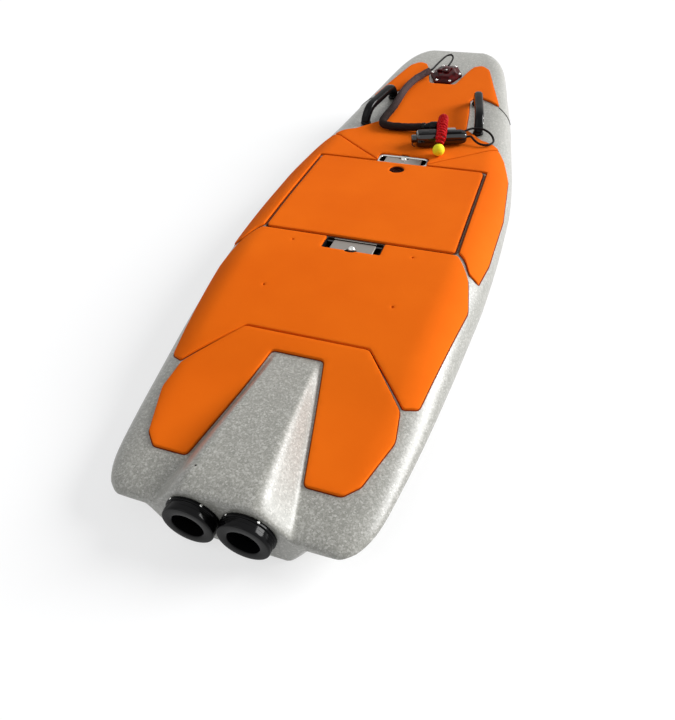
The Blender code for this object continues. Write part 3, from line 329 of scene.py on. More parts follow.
def spaced(outline, step):
    """The closed outline with extra points, so that none are further apart than a step."""
    made = []
    for i, point in enumerate(outline):
        point = np.array(point, float)
        following = np.array(outline[(i + 1) % len(outline)], float)
        count = max(1, math.ceil(np.linalg.norm(following - point) / step))
        for k in range(count):
            made.append(point + (following - point) * k / count)
    made = np.array(made)
    keep = np.linalg.norm(made - np.roll(made, 1, axis=0), axis=1) > 0.00008
    return made[keep]


def area_of(outline):
    x = outline[:, 0]
    y = outline[:, 1]
    return 0.5 * np.sum(x * np.roll(y, -1) - np.roll(x, -1) * y)


def inset(outline, distance):
    """The outline moved inwards by a distance; it runs anticlockwise."""
    before = outline - np.roll(outline, 1, axis=0)
    after = np.roll(outline, -1, axis=0) - outline
    before /= np.linalg.norm(before, axis=1)[:, None]
    after /= np.linalg.norm(after, axis=1)[:, None]
    normal = np.stack((-(before[:, 1] + after[:, 1]), before[:, 0] + after[:, 0]), axis=1)
    length = np.linalg.norm(normal, axis=1)
    normal /= length[:, None]
    return outline + normal * (distance / np.maximum(length / 2, 0.5))[:, None]


def inside(points, outline):
    x, y = points[:, 0], points[:, 1]
    found = np.zeros(len(points), bool)
    for (x0, y0), (x1, y1) in zip(outline, np.roll(outline, -1, axis=0)):
        crosses = (y0 > y) != (y1 > y)
        if y1 != y0:
            found ^= crosses & (x < (x1 - x0) * (y - y0) / (y1 - y0) + x0)
    return found


def far_from(points, outline, distance):
    """Which points lie further than a distance from every point of the outline."""
    keep = np.ones(len(points), bool)
    for start in range(0, len(outline), 200):
        part = outline[start : start + 200]
        away = np.linalg.norm(points[:, None, :] - part[None, :, :], axis=2)
        keep &= away.min(axis=1) > distance
    return keep


def lifted(flat, up, height=deck):
    """Flat points as places at a height over a surface."""
    return [(x, y, h) for (x, y), h in zip(flat, height(flat[:, 0], flat[:, 1]) + up)]


def inner_points(loops, step):
    """Points of an even field inside the first loop and outside the others, clear of all of them."""
    low = loops[0].min(axis=0)
    high = loops[0].max(axis=0)
    xs, ys = np.meshgrid(np.arange(low[0], high[0], step), np.arange(low[1], high[1], step))
    xs[1::2] += step / 2
    field = np.stack((xs.ravel(), ys.ravel()), axis=1)
    field = field[inside(field, loops[0])]
    for n, loop in enumerate(loops):
        if n:
            field = field[~inside(field, loop)]
        field = field[far_from(field, loop, step * 0.55)]
    return field


def filled(loops, step):
    """Points and triangles of the flat area inside the first loop and outside the others."""
    edges = []
    first = 0
    for loop in loops:
        edges += [(first + i, first + (i + 1) % len(loop)) for i in range(len(loop))]
        first += len(loop)
    flat = np.concatenate(loops + [inner_points(loops, step)])
    made = delaunay_2d_cdt([Vector(p) for p in flat], edges, [], 1, 0.0000001)
    points = np.array([tuple(p) for p in made[0]])
    middles = np.array([points[list(face)].mean(axis=0) for face in made[2]])
    keep = np.ones(len(middles), bool)
    for loop in loops[1:]:
        keep &= ~inside(middles, loop)
    return points, [face for face, kept in zip(made[2], keep) if kept]


def sheet_over(outline, lip, thickness, step=0.008, holes=(), height=deck, base=GAP):
    """A layer with a rounded upper edge that lies on a surface, inside an outline and round holes."""
    levels = [(0.0, base), (0.0, base + thickness - lip)]
    for angle in (30, 60, 90):
        turn = radians(angle)
        levels.append((lip * (1 - cos(turn)), base + thickness - lip * (1 - sin(turn))))
    points = []
    faces = []

    def add(more_points, more_faces):
        faces.extend(tuple(len(points) + i for i in face) for face in more_faces)
        points.extend(more_points)

    inner = []
    for n, loop in enumerate([spaced(outline, step * 0.6)] + [spaced(hole, step * 0.5) for hole in holes]):
        if (area_of(loop) < 0) == (n == 0):
            loop = loop[::-1]
        moved = [inset(loop, distance) for distance, up in levels]
        add(*grid([lifted(row, up, height) for row, (distance, up) in zip(moved, levels)], caps=False))
        inner.append(moved[-1])
    flat, triangles = filled(inner, step)
    add(lifted(flat, levels[-1][1], height), triangles)
    return mesh_of(points, faces)


def prism(outline, low, high):
    return solid([at_height(outline, low), at_height(outline, high)])


def carve(mesh, cutters):
    """The mesh less the cutters."""
    made = linked("carved", mesh)
    tools = [linked("tool", cutter) for cutter in cutters]
    for tool in tools:
        step = made.modifiers.new("carve", "BOOLEAN")
        step.operation = "DIFFERENCE"
        step.solver = "EXACT"
        step.object = tool
    bpy.context.view_layer.update()
    graph = bpy.context.evaluated_depsgraph_get()
    result = bpy.data.meshes.new_from_object(made.evaluated_get(graph))
    for old in [made] + tools:
        data = old.data
        bpy.data.objects.remove(old, do_unlink=True)
        bpy.data.meshes.remove(data)
    return result


def piece(name, mesh, finish, stands_for=(), body="board", sharp=35):
    """Puts a mesh drawn in board places into the model's frame, as a piece that rides on a body.

    The finish is a material and the name of its slot; the slot's name is not used.
    """
    material, slot = finish
    mesh.transform(Matrix.Translation((0, -ORIGIN, 0)))
    mesh.name = name
    mesh.materials.clear()
    mesh.materials.append(material)
    mesh.shade_smooth()
    mesh.set_sharp_from_angle(angle=radians(sharp))
    made = linked(name, mesh)
    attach(made, body)
    if stands_for:
        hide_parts(*stands_for)
    return made


def distances(path):
    """How far along the path each of its points lies."""
    made = [0.0]
    for a, b in zip(path, path[1:]):
        made.append(made[-1] + (b - a).length)
    return made


def heading(path, i):
    return (path[min(i + 1, len(path) - 1)] - path[max(i - 1, 0)]).normalized()


def sweep(path, section):
    """A section carried along a path without twist. The section is a function of the share of the path."""
    path = [Vector(p) for p in path]
    side = heading(path, 0).cross(Vector((0, 0, 1)))
    if side.length < 0.05:
        side = Vector((1, 0, 0))
    travelled = distances(path)
    rows = []
    for i, place in enumerate(path):
        along = heading(path, i)
        side = (side - along * side.dot(along)).normalized()
        up = side.cross(along)
        rows.append([place + side * u + up * v for u, v in section(travelled[i] / travelled[-1])])
    return solid(rows)


def circle(radius, sides=16):
    ring = [(radius * cos(a), radius * sin(a)) for a in around(sides)]
    return lambda share: ring


def smooth_route(route, spacing):
    """Points at even spacing along a smooth curve through the route's points."""
    points = [Vector(p) for p in route]
    points = [points[0] * 2 - points[1]] + points + [points[-1] * 2 - points[-2]]
    fine = []
    for a, b, c, d in zip(points, points[1:], points[2:], points[3:]):
        for k in range(16):
            t = k / 16
            bend = (a * 2 - b * 5 + c * 4 - d) * t**2
            twist = (b * 3 - a - c * 3 + d) * t**3
            fine.append((b * 2 + (c - a) * t + bend + twist) / 2)
    fine.append(points[-2])
    travelled = distances(fine)
    count = max(2, round(travelled[-1] / spacing))
    made = []
    i = 0
    for k in range(count + 1):
        goal = travelled[-1] * k / count
        while i < len(fine) - 2 and travelled[i + 1] < goal:
            i += 1
        share = (goal - travelled[i]) / max(travelled[i + 1] - travelled[i], 0.00001)
        made.append(fine[i].lerp(fine[i + 1], min(share, 1.0)))
    return made


# Materials


def node(tree, kind, inputs=None, **settings):
    made = tree.nodes.new("ShaderNode" + kind)
    for key, value in settings.items():
        setattr(made, key, value)
    for key, value in (inputs or {}).items():
        if isinstance(value, bpy.types.NodeSocket):
            tree.links.new(value, made.inputs[key])
        else:
            made.inputs[key].default_value = value
    return made


def mathematics(tree, operation, first, second):
    return node(tree, "Math", {0: first, 1: second}, operation=operation).outputs[0]


def base(name, colour, rough, **sockets):
    """A new material with values on its shader: itself, its tree, its shader and its object places."""
    made = bpy.data.materials.new(name)
    made.use_nodes = True
    tree = made.node_tree
    shader = tree.nodes["Principled BSDF"]
    shader.inputs["Base Color"].default_value = (*colour, 1)
    shader.inputs["Roughness"].default_value = rough
    for key, value in sockets.items():
        shader.inputs[key.replace("_", " ").title().replace("Ior", "IOR")].default_value = value
    made.diffuse_color = (*colour, 1)
    return made, tree, shader, node(tree, "TexCoord").outputs["Object"]


def paint(tree, shader, colour, rough):
    tree.links.new(colour, shader.inputs["Base Color"])
    tree.links.new(rough, shader.inputs["Roughness"])


def grain(tree, place, scale, detail=2.0, rough=0.5):
    made = node(tree, "TexNoise", {"Vector": place, "Scale": scale, "Detail": detail, "Roughness": rough})
    return made.outputs["Fac"]


def flecks(tree, place, scale):
    """A chance value for each cell of a size."""
    cells = node(tree, "TexVoronoi", {"Vector": place, "Scale": scale, "Randomness": 1.0})
    return node(tree, "SeparateColor", {"Color": cells.outputs["Color"]}).outputs["Red"]


def ramp(tree, factor, *stops):
    made = node(tree, "ValToRGB", {"Fac": factor})
    line = made.color_ramp
    while len(line.elements) < len(stops):
        line.elements.new(0.5)
    for element, (place, colour) in zip(line.elements, stops):
        element.position = place
        element.color = (*colour, 1)
    return made.outputs["Color"]


def blend(tree, factor, first, second, kind="MIX"):
    made = node(tree, "Mix", data_type="RGBA", blend_type=kind)
    for socket, value in (("Factor", factor), ("A", first), ("B", second)):
        target = [s for s in made.inputs if s.name == socket and s.enabled][0]
        if isinstance(value, bpy.types.NodeSocket):
            tree.links.new(value, target)
        else:
            target.default_value = value if socket == "Factor" else (*value, 1)
    return [s for s in made.outputs if s.enabled][0]


def spread(tree, value, low, high):
    return node(tree, "MapRange", {"Value": value, "To Min": low, "To Max": high}).outputs["Result"]


def relief(tree, shader, height, distance, strength=1.0):
    made = node(tree, "Bump", {"Height": height, "Distance": distance, "Strength": strength})
    tree.links.new(made.outputs["Normal"], shader.inputs["Normal"])


def hull_finish():
    sockets = {"specular_ior_level": 0.4, "coat_weight": 1.0, "coat_roughness": 0.41}
    made, tree, shader, place = base("speckled_composite", (0.27, 0.265, 0.235), 0.36, **sockets)
    large = ((0.0, (0.175, 0.175, 0.150)), (0.45, (0.245, 0.243, 0.212)), (0.75, (0.31, 0.305, 0.275)))
    flake = ramp(tree, flecks(tree, place, 330.0), *large, (1.0, (0.50, 0.49, 0.455)))
    small = flecks(tree, place, 620.0)
    dust = ramp(tree, small, (0.0, (0.18, 0.18, 0.16)), (0.6, (0.285, 0.28, 0.25)), (1.0, (0.45, 0.44, 0.41)))
    paint(tree, shader, blend(tree, 0.42, flake, dust), spread(tree, small, 0.40, 0.58))
    relief(tree, shader, grain(tree, place, 500.0), 0.0002, 0.2)
    return made


def foam_finish():
    made, tree, shader, place = base("orange_foam", (0.80, 0.13, 0.004), 0.85, specular_ior_level=0.06)
    fine = grain(tree, place, 900.0, 3.0, 0.6)
    cloud = grain(tree, place, 5.0, 3.0)
    colour = ramp(tree, cloud, (0.30, (0.775, 0.128, 0.0035)), (0.70, (0.84, 0.152, 0.005)))
    colour = blend(tree, spread(tree, fine, 0.0, 0.14), colour, (0.64, 0.090, 0.002))
    paint(tree, shader, colour, spread(tree, fine, 0.76, 0.92))
    cells = node(tree, "TexVoronoi", {"Vector": place, "Scale": 1400.0})
    relief(tree, shader, cells.outputs["Distance"], 0.00025, 0.35)
    return made


def plastic_finish(name, shade, rough, wear=0.1, scale=500.0, coat=0.0, shine=0.1):
    sockets = {"coat_weight": coat, "coat_roughness": 0.12, "specular_ior_level": shine}
    made, tree, shader, place = base(name, shade, rough, **sockets)
    wide = grain(tree, place, 24.0, 4.0)
    lighter = tuple(min(1.0, c * 1.9 + 0.003) for c in shade)
    colour = blend(tree, spread(tree, wide, 0.0, wear * 4), shade, lighter)
    paint(tree, shader, colour, spread(tree, wide, rough * 0.8, rough * 1.25))
    relief(tree, shader, grain(tree, place, scale, 3.0), 0.0001, 0.15)
    return made


def metal_finish(name, shade, rough):
    made, tree, shader, place = base(name, shade, rough, metallic=1.0)
    lines = grain(tree, place, 420.0, 3.0, 0.6)
    colour = blend(tree, lines, shade, tuple(c * 0.72 for c in shade))
    paint(tree, shader, colour, spread(tree, lines, rough * 0.75, rough * 1.3))
    relief(tree, shader, lines, 0.00008, 0.3)
    return made


def threads(tree, place, scale):
    values = {"Vector": place, "Scale": scale, "Distortion": 0.6}
    return node(tree, "TexWave", values, bands_direction="DIAGONAL").outputs["Fac"]


def woven_finish(name, shade, light, scale, rough=0.85, painted_light=None):
    """A weave of two shades, with a third added as painted light that rises between two places along the
    board.
    """
    made, tree, shader, place = base(name, shade, rough, specular_ior_level=0.1)
    turn = node(tree, "Mapping", {"Vector": place, "Rotation": (0, 0, pi / 2)}).outputs["Vector"]
    weave = mathematics(tree, "MULTIPLY", threads(tree, place, scale), threads(tree, turn, scale))
    cloud = grain(tree, place, 22.0, 3.0)
    factor = mathematics(tree, "MULTIPLY", weave, cloud)
    colour = blend(tree, spread(tree, factor, 0.0, 1.6), shade, light)
    if painted_light:
        start, end, added = painted_light
        along = node(tree, "SeparateXYZ", {"Vector": place}).outputs["Y"]
        share = node(tree, "MapRange", {"Value": along, "From Min": start, "From Max": end}).outputs["Result"]
        colour = blend(tree, share, colour, blend(tree, 1.0, colour, added, "ADD"))
    paint(tree, shader, colour, spread(tree, cloud, rough - 0.12, min(1.0, rough + 0.1)))
    relief(tree, shader, weave, 0.0005, 0.6)
    return made


def sleeve_finish():
    # Painted light: the sleeve turns lighter towards the bow, where its upper run lies in the light
    painted_light = (0.42, 0.56, (0.055, 0.036, 0.038))
    return woven_finish("sleeve_weave", (0.010, 0.006, 0.005), (0.050, 0.032, 0.030), 260.0, painted_light=painted_light)


def cloudy_finish(name, shade, rough, scale, detail, stops, rough_range, **sockets):
    """A resin or foam with soft clouds of two shades."""
    made, tree, shader, place = base(name, shade, rough, **sockets)
    cloud = grain(tree, place, scale, detail)
    paint(tree, shader, ramp(tree, cloud, *stops), spread(tree, cloud, *rough_range))
    return made, tree, shader, place


def red_finish():
    stops = ((0.35, (0.020, 0.0006, 0.001)), (0.68, (0.085, 0.001, 0.002)))
    sockets = {"specular_ior_level": 0.03, "coat_weight": 0.06, "coat_roughness": 0.05}
    return cloudy_finish("red_resin", (0.05, 0.002, 0.003), 0.14, 60.0, 3.0, stops, (0.08, 0.2), **sockets)[0]


def ball_finish():
    stops = ((0.25, (0.86, 0.87, 0.015)), (0.75, (0.96, 0.94, 0.03)))
    sockets = {"specular_ior_level": 0.2}
    made, tree, shader, place = cloudy_finish(
        "yellow_foam", (0.80, 0.78, 0.012), 0.6, 120.0, 4.0, stops, (0.5, 0.72), **sockets
    )
    relief(tree, shader, grain(tree, place, 900.0), 0.0002, 0.3)
    return made


HULL = hull_finish(), "hull_composite"
FOAM = foam_finish(), "eva_orange"
GLOSS = plastic_finish("gloss_plastic", (0.003, 0.003, 0.0034), 0.16, 0.03, 300.0, 0.18, 0.02), "gloss_black"
SHELL = plastic_finish("control_shell", (0.004, 0.004, 0.0045), 0.12, 0.03, 300.0, 1.0, 0.2), "gloss_black"
SATIN = plastic_finish("satin_plastic", (0.0045, 0.0045, 0.005), 0.30, 0.06, 300.0, shine=0.06), "matte_black"
MATTE = plastic_finish("matte_plastic", (0.012, 0.012, 0.012), 0.62, 0.14, shine=0.12), "matte_black"
# Painted shade for the finger notches beside the latches
NOTCH_SHADE = MATTE[0], "rubber_black"
VENT = plastic_finish("vent_plastic", (0.020, 0.003, 0.0015), 0.6, shine=0.03), "matte_black"
# Painted shade: a dark orange-brown for strips round the pads' edges and in the port groove, standing for
# contact shadow and dark seams
EDGE_SHADE = plastic_finish("pad_edge_shade", (0.150, 0.022, 0.002), 0.7, shine=0.05), "rubber_black"
# Painted shade tinted by orange bounce light, for the gap round the hatch lid and the starboard groove
GROOVE_SHADE = plastic_finish("painted_groove_shade", (0.085, 0.048, 0.024), 0.6, 0.14, shine=0.15), "rubber_black"
RUBBER = plastic_finish("cord_rubber", (0.006, 0.005, 0.005), 0.50, 0.08, 900.0, shine=0.08), "rubber_black"
CAST = metal_finish("cast_metal", (0.34, 0.315, 0.29), 0.36), "grey_metal"
STEEL = metal_finish("bright_steel", (0.66, 0.66, 0.64), 0.24), "grey_metal"
DARK = metal_finish("dark_metal", (0.07, 0.07, 0.075), 0.42), "grey_metal"
RED = red_finish(), "tether_red"
FABRIC = sleeve_finish(), "sleeve_fabric"
LEASH = woven_finish("leash_weave", (0.44, 0.005, 0.007), (1.0, 0.030, 0.042), 95.0, 0.55), "leash_red"
BALL = ball_finish(), "ball_yellow"


# Hull and deck


def section_places(y):
    """Places across the starboard half of the deck, close together on the hump's rounds."""
    top = hump_half(y)
    flank = crease_half(y) - top
    inner = top - flank * CREST_ROUND
    outer = top + flank * (1 + CREASE_ROUND)
    wide = half_width(y)
    flat = wide * (1 - RAIL_ROLL)
    places = list(np.linspace(0.0, inner, 6))
    for start, end, count in (
        (-CREST_ROUND, CREST_ROUND, 9),
        (CREST_ROUND, 1 - CREASE_ROUND, 5),
        (1 - CREASE_ROUND, 1 + CREASE_ROUND, 7),
    ):
        places += [top + flank * t for t in np.linspace(start, end, count)[1:]]
    places += list(np.linspace(outer, flat, 12)[1:])
    places += [flat + (wide - flat) * sin(radians(a)) for a in np.linspace(0, 90, 19)[1:]]
    return np.array(places)


END_ROUND = 0.006


def softened(points, y, sign):
    """Draws the section in near the transom, so that the end has a rounded edge."""
    near = max(0.0, 1 - y / END_ROUND)
    back = END_ROUND * (1 - math.sqrt(max(0.0, 1 - near**2)))
    wide = half_width(y)
    rail = rail_height(y)
    made = []
    for x, z in points:
        drawn = copysign(back, x) * (abs(x) / wide) ** 8
        made.append((x - drawn, z - sign * back * min(1.0, abs(z - rail) / 0.010)))
    return made


TAIL_PLACES = (0.0, 0.0004, 0.0012, 0.0026, 0.0044, 0.006, 0.010, 0.016, 0.024, 0.032, 0.042, 0.052)
STATION_STEP = 0.0145
NOSE_DISTANCES = (0.078, 0.066, 0.055, 0.045, 0.036, 0.028, 0.021, 0.015, 0.010, 0.006, 0.003, 0.001, 0.0)


def stations():
    """Places along the board, close together at both ends."""
    body = list(np.arange(0.064, HUMP_LENGTH, STATION_STEP))
    body += list(np.arange(HUMP_LENGTH, LENGTH - 0.085, STATION_STEP))
    return list(TAIL_PLACES) + body + [LENGTH - d for d in NOSE_DISTANCES]


def whole_section(half, y):
    return [(-x, y, z) for x, z in reversed(half[1:])] + [(x, y, z) for x, z in half]


def deck_rows():
    rows = []
    for y in stations():
        places = section_places(y)
        heights = deck(places, np.full(len(places), y))
        heights[-1] = rail_height(y) + GAP / 2
        rows.append(whole_section(softened(zip(places, heights), y, 1), y))
    return rows


# The flat pod under the board and the raised wing beside it, as shares of half width and of the wing's rise
POD = (
    (0.0, 0.0), (0.15, 0.0), (0.30, 0.0), (0.42, 0.0), (0.53, 0.0), (0.555, 0.05), (0.58, 0.16), (0.61, 0.34),
    (0.64, 0.55), (0.67, 0.75), (0.70, 0.90), (0.715, 0.97), (0.73, 1.0),
)
WING_LENGTH = 0.46
WING_RISE = 0.051


def hull_rows():
    rows = []
    for y in stations():
        wide = half_width(y)
        low = bottom_height(y)
        rail = rail_height(y) - GAP / 2
        flat = wide * (1 - LOWER_ROLL)
        back = min(max(1 - y / WING_LENGTH, 0.0), 1.0)
        rise = WING_RISE * (3 * back**2 - 2 * back**3)
        half = [(wide * share, low + rise * up) for share, up in POD]
        for angle in np.linspace(0, 90, 17):
            turn = radians(angle)
            half.append((flat + (wide - flat) * sin(turn), rail - (rail - low - rise) * cos(turn)))
        rows.append(whole_section(softened(half, y, -1), y))
    return rows


LID_FLOOR = min(deck_height(HATCH_REAR), deck_height(HATCH_FRONT)) - 0.014
LEDGE = LID_FLOOR - 0.003 - 2 * GAP
LATCH_ROOM = HATCH_GAP + LATCH_FROM_HATCH
OVER_DECK = DECK_HEIGHT + 0.02
BAY_MARGIN = 0.026
BAY_FLOOR = 0.020
JET_BORE = 0.0428
BORE_DEPTH = 0.1503


def opening_outline(grow):
    outline = rectangle(HATCH_HALF + grow, HATCH_REAR - grow, HATCH_FRONT + grow)
    return rounded(outline, 0.012 + max(grow, 0.0))


def bay_cutter():
    outline = rectangle(HATCH_HALF - BAY_MARGIN, HATCH_REAR + BAY_MARGIN, HATCH_FRONT - BAY_MARGIN)
    return prism(rounded(outline, 0.015), BAY_FLOOR, OVER_DECK)


def bore_cutter(x):
    return drum(JET_BORE, (x, -0.02, JET_HEIGHT), (x, BORE_DEPTH, JET_HEIGHT), 96)


def latch_edges():
    """The name of each latch, its way from the hatch and its edge next to it."""
    return (("rear", -1, HATCH_REAR - LATCH_ROOM), ("front", 1, HATCH_FRONT + LATCH_ROOM))


INTAKE_RADIUS = 0.0405
INTAKE_SLOPE = 26
GRILLE = (0.0433, 0.1717, 0.4083)
FIN_BOX_FROM_MIDDLE = 0.070
FIN_BOX_HALF = 0.0093
PIN_HOLE = (-0.053, 0.044)


def intake_cutters(x):
    """The intake, the seat of its grille and the fin box of one side."""
    fall = JET_HEIGHT + 0.02 + INTAKE_RADIUS
    run = fall / math.tan(radians(INTAKE_SLOPE))
    line = [(0.130, 0.0), (0.160, 0.0), (0.170, 0.0025), (0.165 + run, fall)]
    duct = sweep([(x, y, JET_HEIGHT - down) for y, down in line], circle(INTAKE_RADIUS, 40))
    seat = prism(rounded([(x + a, y) for a, y in rectangle(*GRILLE)], 0.012), -0.02, 0.0036)
    fin = copysign(FIN_BOX_FROM_MIDDLE, x)
    return [duct, seat, block((fin - FIN_BOX_HALF, 0.0297, -0.02), (fin + FIN_BOX_HALF, 0.1403, 0.0143))]


def make_deck():
    cutters = [prism(opening_outline(HATCH_GAP), LEDGE, OVER_DECK), bay_cutter()]
    wide = LATCH_HALF + GAP
    for name, way, edge in latch_edges():
        rear, front = sorted((edge - way * GAP, edge + way * (LATCH_WIDTH + GAP)))
        high = deck_height(edge)
        cutters.append(block((-wide, rear, high - 0.0183), (wide, front, high + 0.02)))
    cutters += [bore_cutter(x) for side, x in JETS]
    cutters.append(drum(0.0019, (*PIN_HOLE, 0.09), (*PIN_HOLE, 0.16), 20))
    piece("deck_skin", carve(solid(deck_rows()), cutters), HULL, ["deck_shell"], sharp=40)


def make_hull():
    cutters = [bay_cutter()]
    for side, x in JETS:
        cutters += [bore_cutter(x)] + intake_cutters(x)
    piece("hull_skin", carve(solid(hull_rows()), cutters), HULL, ["hull_bottom"], sharp=40)


# Pads


def shares(table, long=LENGTH):
    return [(x * HALF_WIDTH, y * long) for x, y in table]


def bow_seam(way):
    """One edge of the seam between side pad and bow pad."""
    start = (LATCH_HALF + PAD_SEAM / 2, HATCH_FRONT + END_GROOVE + PAD_SEAM + way * 0.0025)
    return start, (0.775 * HALF_WIDTH, 0.6525 * LENGTH + way * 0.0025)


def arc_over(half, edge, depth, angles):
    """An arc with its middle on an edge that runs across the board."""
    return [(half * cos(a), edge + depth * sin(a)) for a in angles]


def ring_of(x, y, radius, sides=20):
    return [(x + radius * cos(a), y + radius * sin(a)) for a in around(sides)]


NOTCH_POINTS = 8


def finger_notch(edge, way):
    """The starboard half of the round notch for a finger in a pad's edge, from the side to the middle."""
    return arc_over(0.0125, edge, way * 0.0052, np.linspace(0.0, pi / 2, NOTCH_POINTS))


def edging(outline, levels):
    """A low strip that follows an outline: pairs of distance outwards and height over the deck."""
    loop = spaced(outline, 0.004)
    if area_of(loop) < 0:
        loop = loop[::-1]
    return mesh_of(*grid([lifted(inset(loop, -distance), up) for distance, up in levels], caps=False))


PAD_ROUND = 0.0018
# Pairs of distance outwards and height over the deck of the painted shade strip round each pad
EDGE_SHADE_STRIP = ((-0.003, 0.0002), (0.0014, 0.0006), (0.0019, 0.0004), (0.0019, -0.0004))


def lay_pad(name, outline, holes=(), body="board"):
    mesh = sheet_over(outline, PAD_ROUND, PAD_THICKNESS, holes=holes)
    piece("pad_" + name, mesh, FOAM, ["eva_" + name], body=body)
    # A strip of painted shade round the pad, for its contact shadow and the dark seams between pads
    piece("pad_" + name + "_edge_shade", edging(outline, EDGE_SHADE_STRIP), EDGE_SHADE, body=body)


def lay_wide_pad(name, half, corners, holes=()):
    """A pad that crosses the board, from its starboard half."""
    outline = half + [(-x, y) for x, y in reversed(half)]
    lay_pad(name, rounded(outline, corners + corners[::-1]), holes)


TAIL_PAD_REAR = 0.262
TAIL_PAD_SIDE = ((0.550, TAIL_PAD_REAR), (0.625, 0.335), (0.720, 0.624), (0.695, 0.800), (0.410, 1.129))


def make_tail_pad():
    rear = TAIL_PAD_REAR * HUMP_LENGTH
    half = [
        (crease_half(HUMP_LENGTH) + TAIL_PAD_MARGIN, HUMP_LENGTH + PAD_SEAM / 2),
        (crease_half(rear) + TAIL_PAD_MARGIN, rear),
    ]
    half += shares(TAIL_PAD_SIDE, HUMP_LENGTH)
    lay_wide_pad("tail", half, [0.012, 0.010, 0.014, 0.020, 0.040, 0.022, 0.014])


SEAM_AT_LATCH = LATCH_HALF + PAD_SEAM / 2
MID_PAD_REAR = ((0.410, 1.141), (0.708, 0.820), (0.790, 0.856))
MID_PAD_SIDE = (
    (0.905, 0.2920), (0.873, 0.3180), (0.855, 0.3315), (0.828, 0.3415), (0.799, 0.3505), (0.772, 0.3580),
)


def make_mid_pad():
    edge = HATCH_REAR - END_GROOVE
    half = shares(MID_PAD_REAR, HUMP_LENGTH) + shares(MID_PAD_SIDE)
    half += [(HATCH_HALF + END_GROOVE, edge), (SEAM_AT_LATCH, edge)]
    edge = HATCH_REAR - LATCH_ROOM - LATCH_WIDTH - PAD_SEAM / 2
    half += [(SEAM_AT_LATCH, edge)] + finger_notch(edge, -1)
    corners = [0.014, 0.006, 0.016, 0.050, 0.030, 0.020, 0.020, 0.020, 0.012, 0.005, 0.003, 0.004]
    dimples = [ring_of(x, y, 0.0024) for x in (-0.136, 0.136) for y in (0.486, 0.646)]
    lay_wide_pad("mid", half, corners + [0.0] * NOTCH_POINTS, dimples)


SIDE_PAD_RAIL = (
    (0.786, 0.3650), (0.809, 0.3590), (0.832, 0.3505), (0.854, 0.3430), (0.921, 0.3395),
    (0.952, 0.3850), (0.965, 0.4900), (0.920, 0.5890), (0.845, 0.6290),
)


def make_side_pads():
    front = HATCH_FRONT + END_GROOVE
    inner = HATCH_HALF + SIDE_GROOVE
    latch_corner, rail_corner = bow_seam(-1)
    points = [(inner, HATCH_REAR + SIDE_GROOVE / 2)] + shares(SIDE_PAD_RAIL)
    points += [rail_corner, latch_corner, (latch_corner[0] + PAD_SEAM, front), (inner, front)]
    corners = [0.004, 0.010, 0.010, 0.010, 0.006, 0.005, 0.08, 0.08, 0.06, 0.03, 0.010, 0.002, 0.002, 0.006]
    for side, sign in SIDES:
        lay_pad("side_" + side, rounded([(x * sign, y) for x, y in points], corners))


BOW_PAD_EDGE = (
    (0.720, 0.6615), (0.600, 0.6700), (0.424, 0.7020), (0.391, 0.7543), (0.350, 0.8000), (0.395, 0.8172),
    (0.650, 0.7930), (0.520, 0.8600), (0.428, 0.9120), (0.340, 0.9270), (0.260, 0.9200), (0.220, 0.9030),
    (0.135, 0.8480),
)


def make_bow_pad():
    latch_corner, rail_corner = bow_seam(1)
    edge = HATCH_FRONT + LATCH_ROOM + LATCH_WIDTH + PAD_SEAM / 2 + 0.002
    half = finger_notch(edge, 1)[::-1] + [(SEAM_AT_LATCH + 0.002, edge), latch_corner, rail_corner]
    corners = [0.012, 0.002, 0.005, 0.030, 0.030, 0.020, 0.080, 0.006]
    corners += [0.005, 0.006, 0.060, 0.030, 0.020, 0.014, 0.012, 0.020]
    lay_wide_pad("bow", half + shares(BOW_PAD_EDGE), [0.0] * NOTCH_POINTS + corners)


VENT_AT = HATCH_FRONT - 0.036
VENT_HOLE = 0.0193


def make_hatch_pad():
    lay_pad("hatch", opening_outline(0.0), [ring_of(0, VENT_AT, VENT_HOLE, 64)], "hatch")


def make_hatch_edges():
    """Strips of painted shade, tinted brown as by orange bounce light, in the gap round the lid and in the
    grooves at both of its sides.
    """
    lip = min(0.0090, LATCH_ROOM - 0.0004)
    levels = ((HATCH_GAP + 0.0002, -0.0008), (HATCH_GAP + 0.0004, 0.0005), (lip, 0.0005), (lip, -0.0004))
    piece("hatch_gap_shade", edging(opening_outline(0.0), levels), GROOVE_SHADE)
    for side, sign in SIDES:
        ends = sorted((sign * (HATCH_HALF + lip - 0.0002), sign * (HATCH_HALF + SIDE_GROOVE + 0.001)))
        places = np.linspace(HATCH_REAR + 0.008, HATCH_FRONT - 0.004, 60)
        strip = [[(x, y, deck(x, y) + 0.0005) for x in ends] for y in places]
        mesh = mesh_of(*grid(strip, ring=False, caps=False))
        piece("hatch_groove_" + side, mesh, GROOVE_SHADE if sign > 0 else EDGE_SHADE)


MOULD_LINE = ((0.195, 1.4755), (0.238, 1.4495))


def make_mould_lines():
    """The short raised lines of the mould on both sides of the bow."""
    for side, sign in SIDES:
        line = np.linspace(*MOULD_LINE, 12)
        path = [Vector((sign * x, y, deck(x, y) + 0.0002)) for x, y in line]
        piece("mould_line_" + side, sweep(smooth_route(path, 0.004), circle(0.0015, 8)), RUBBER)


# Jets


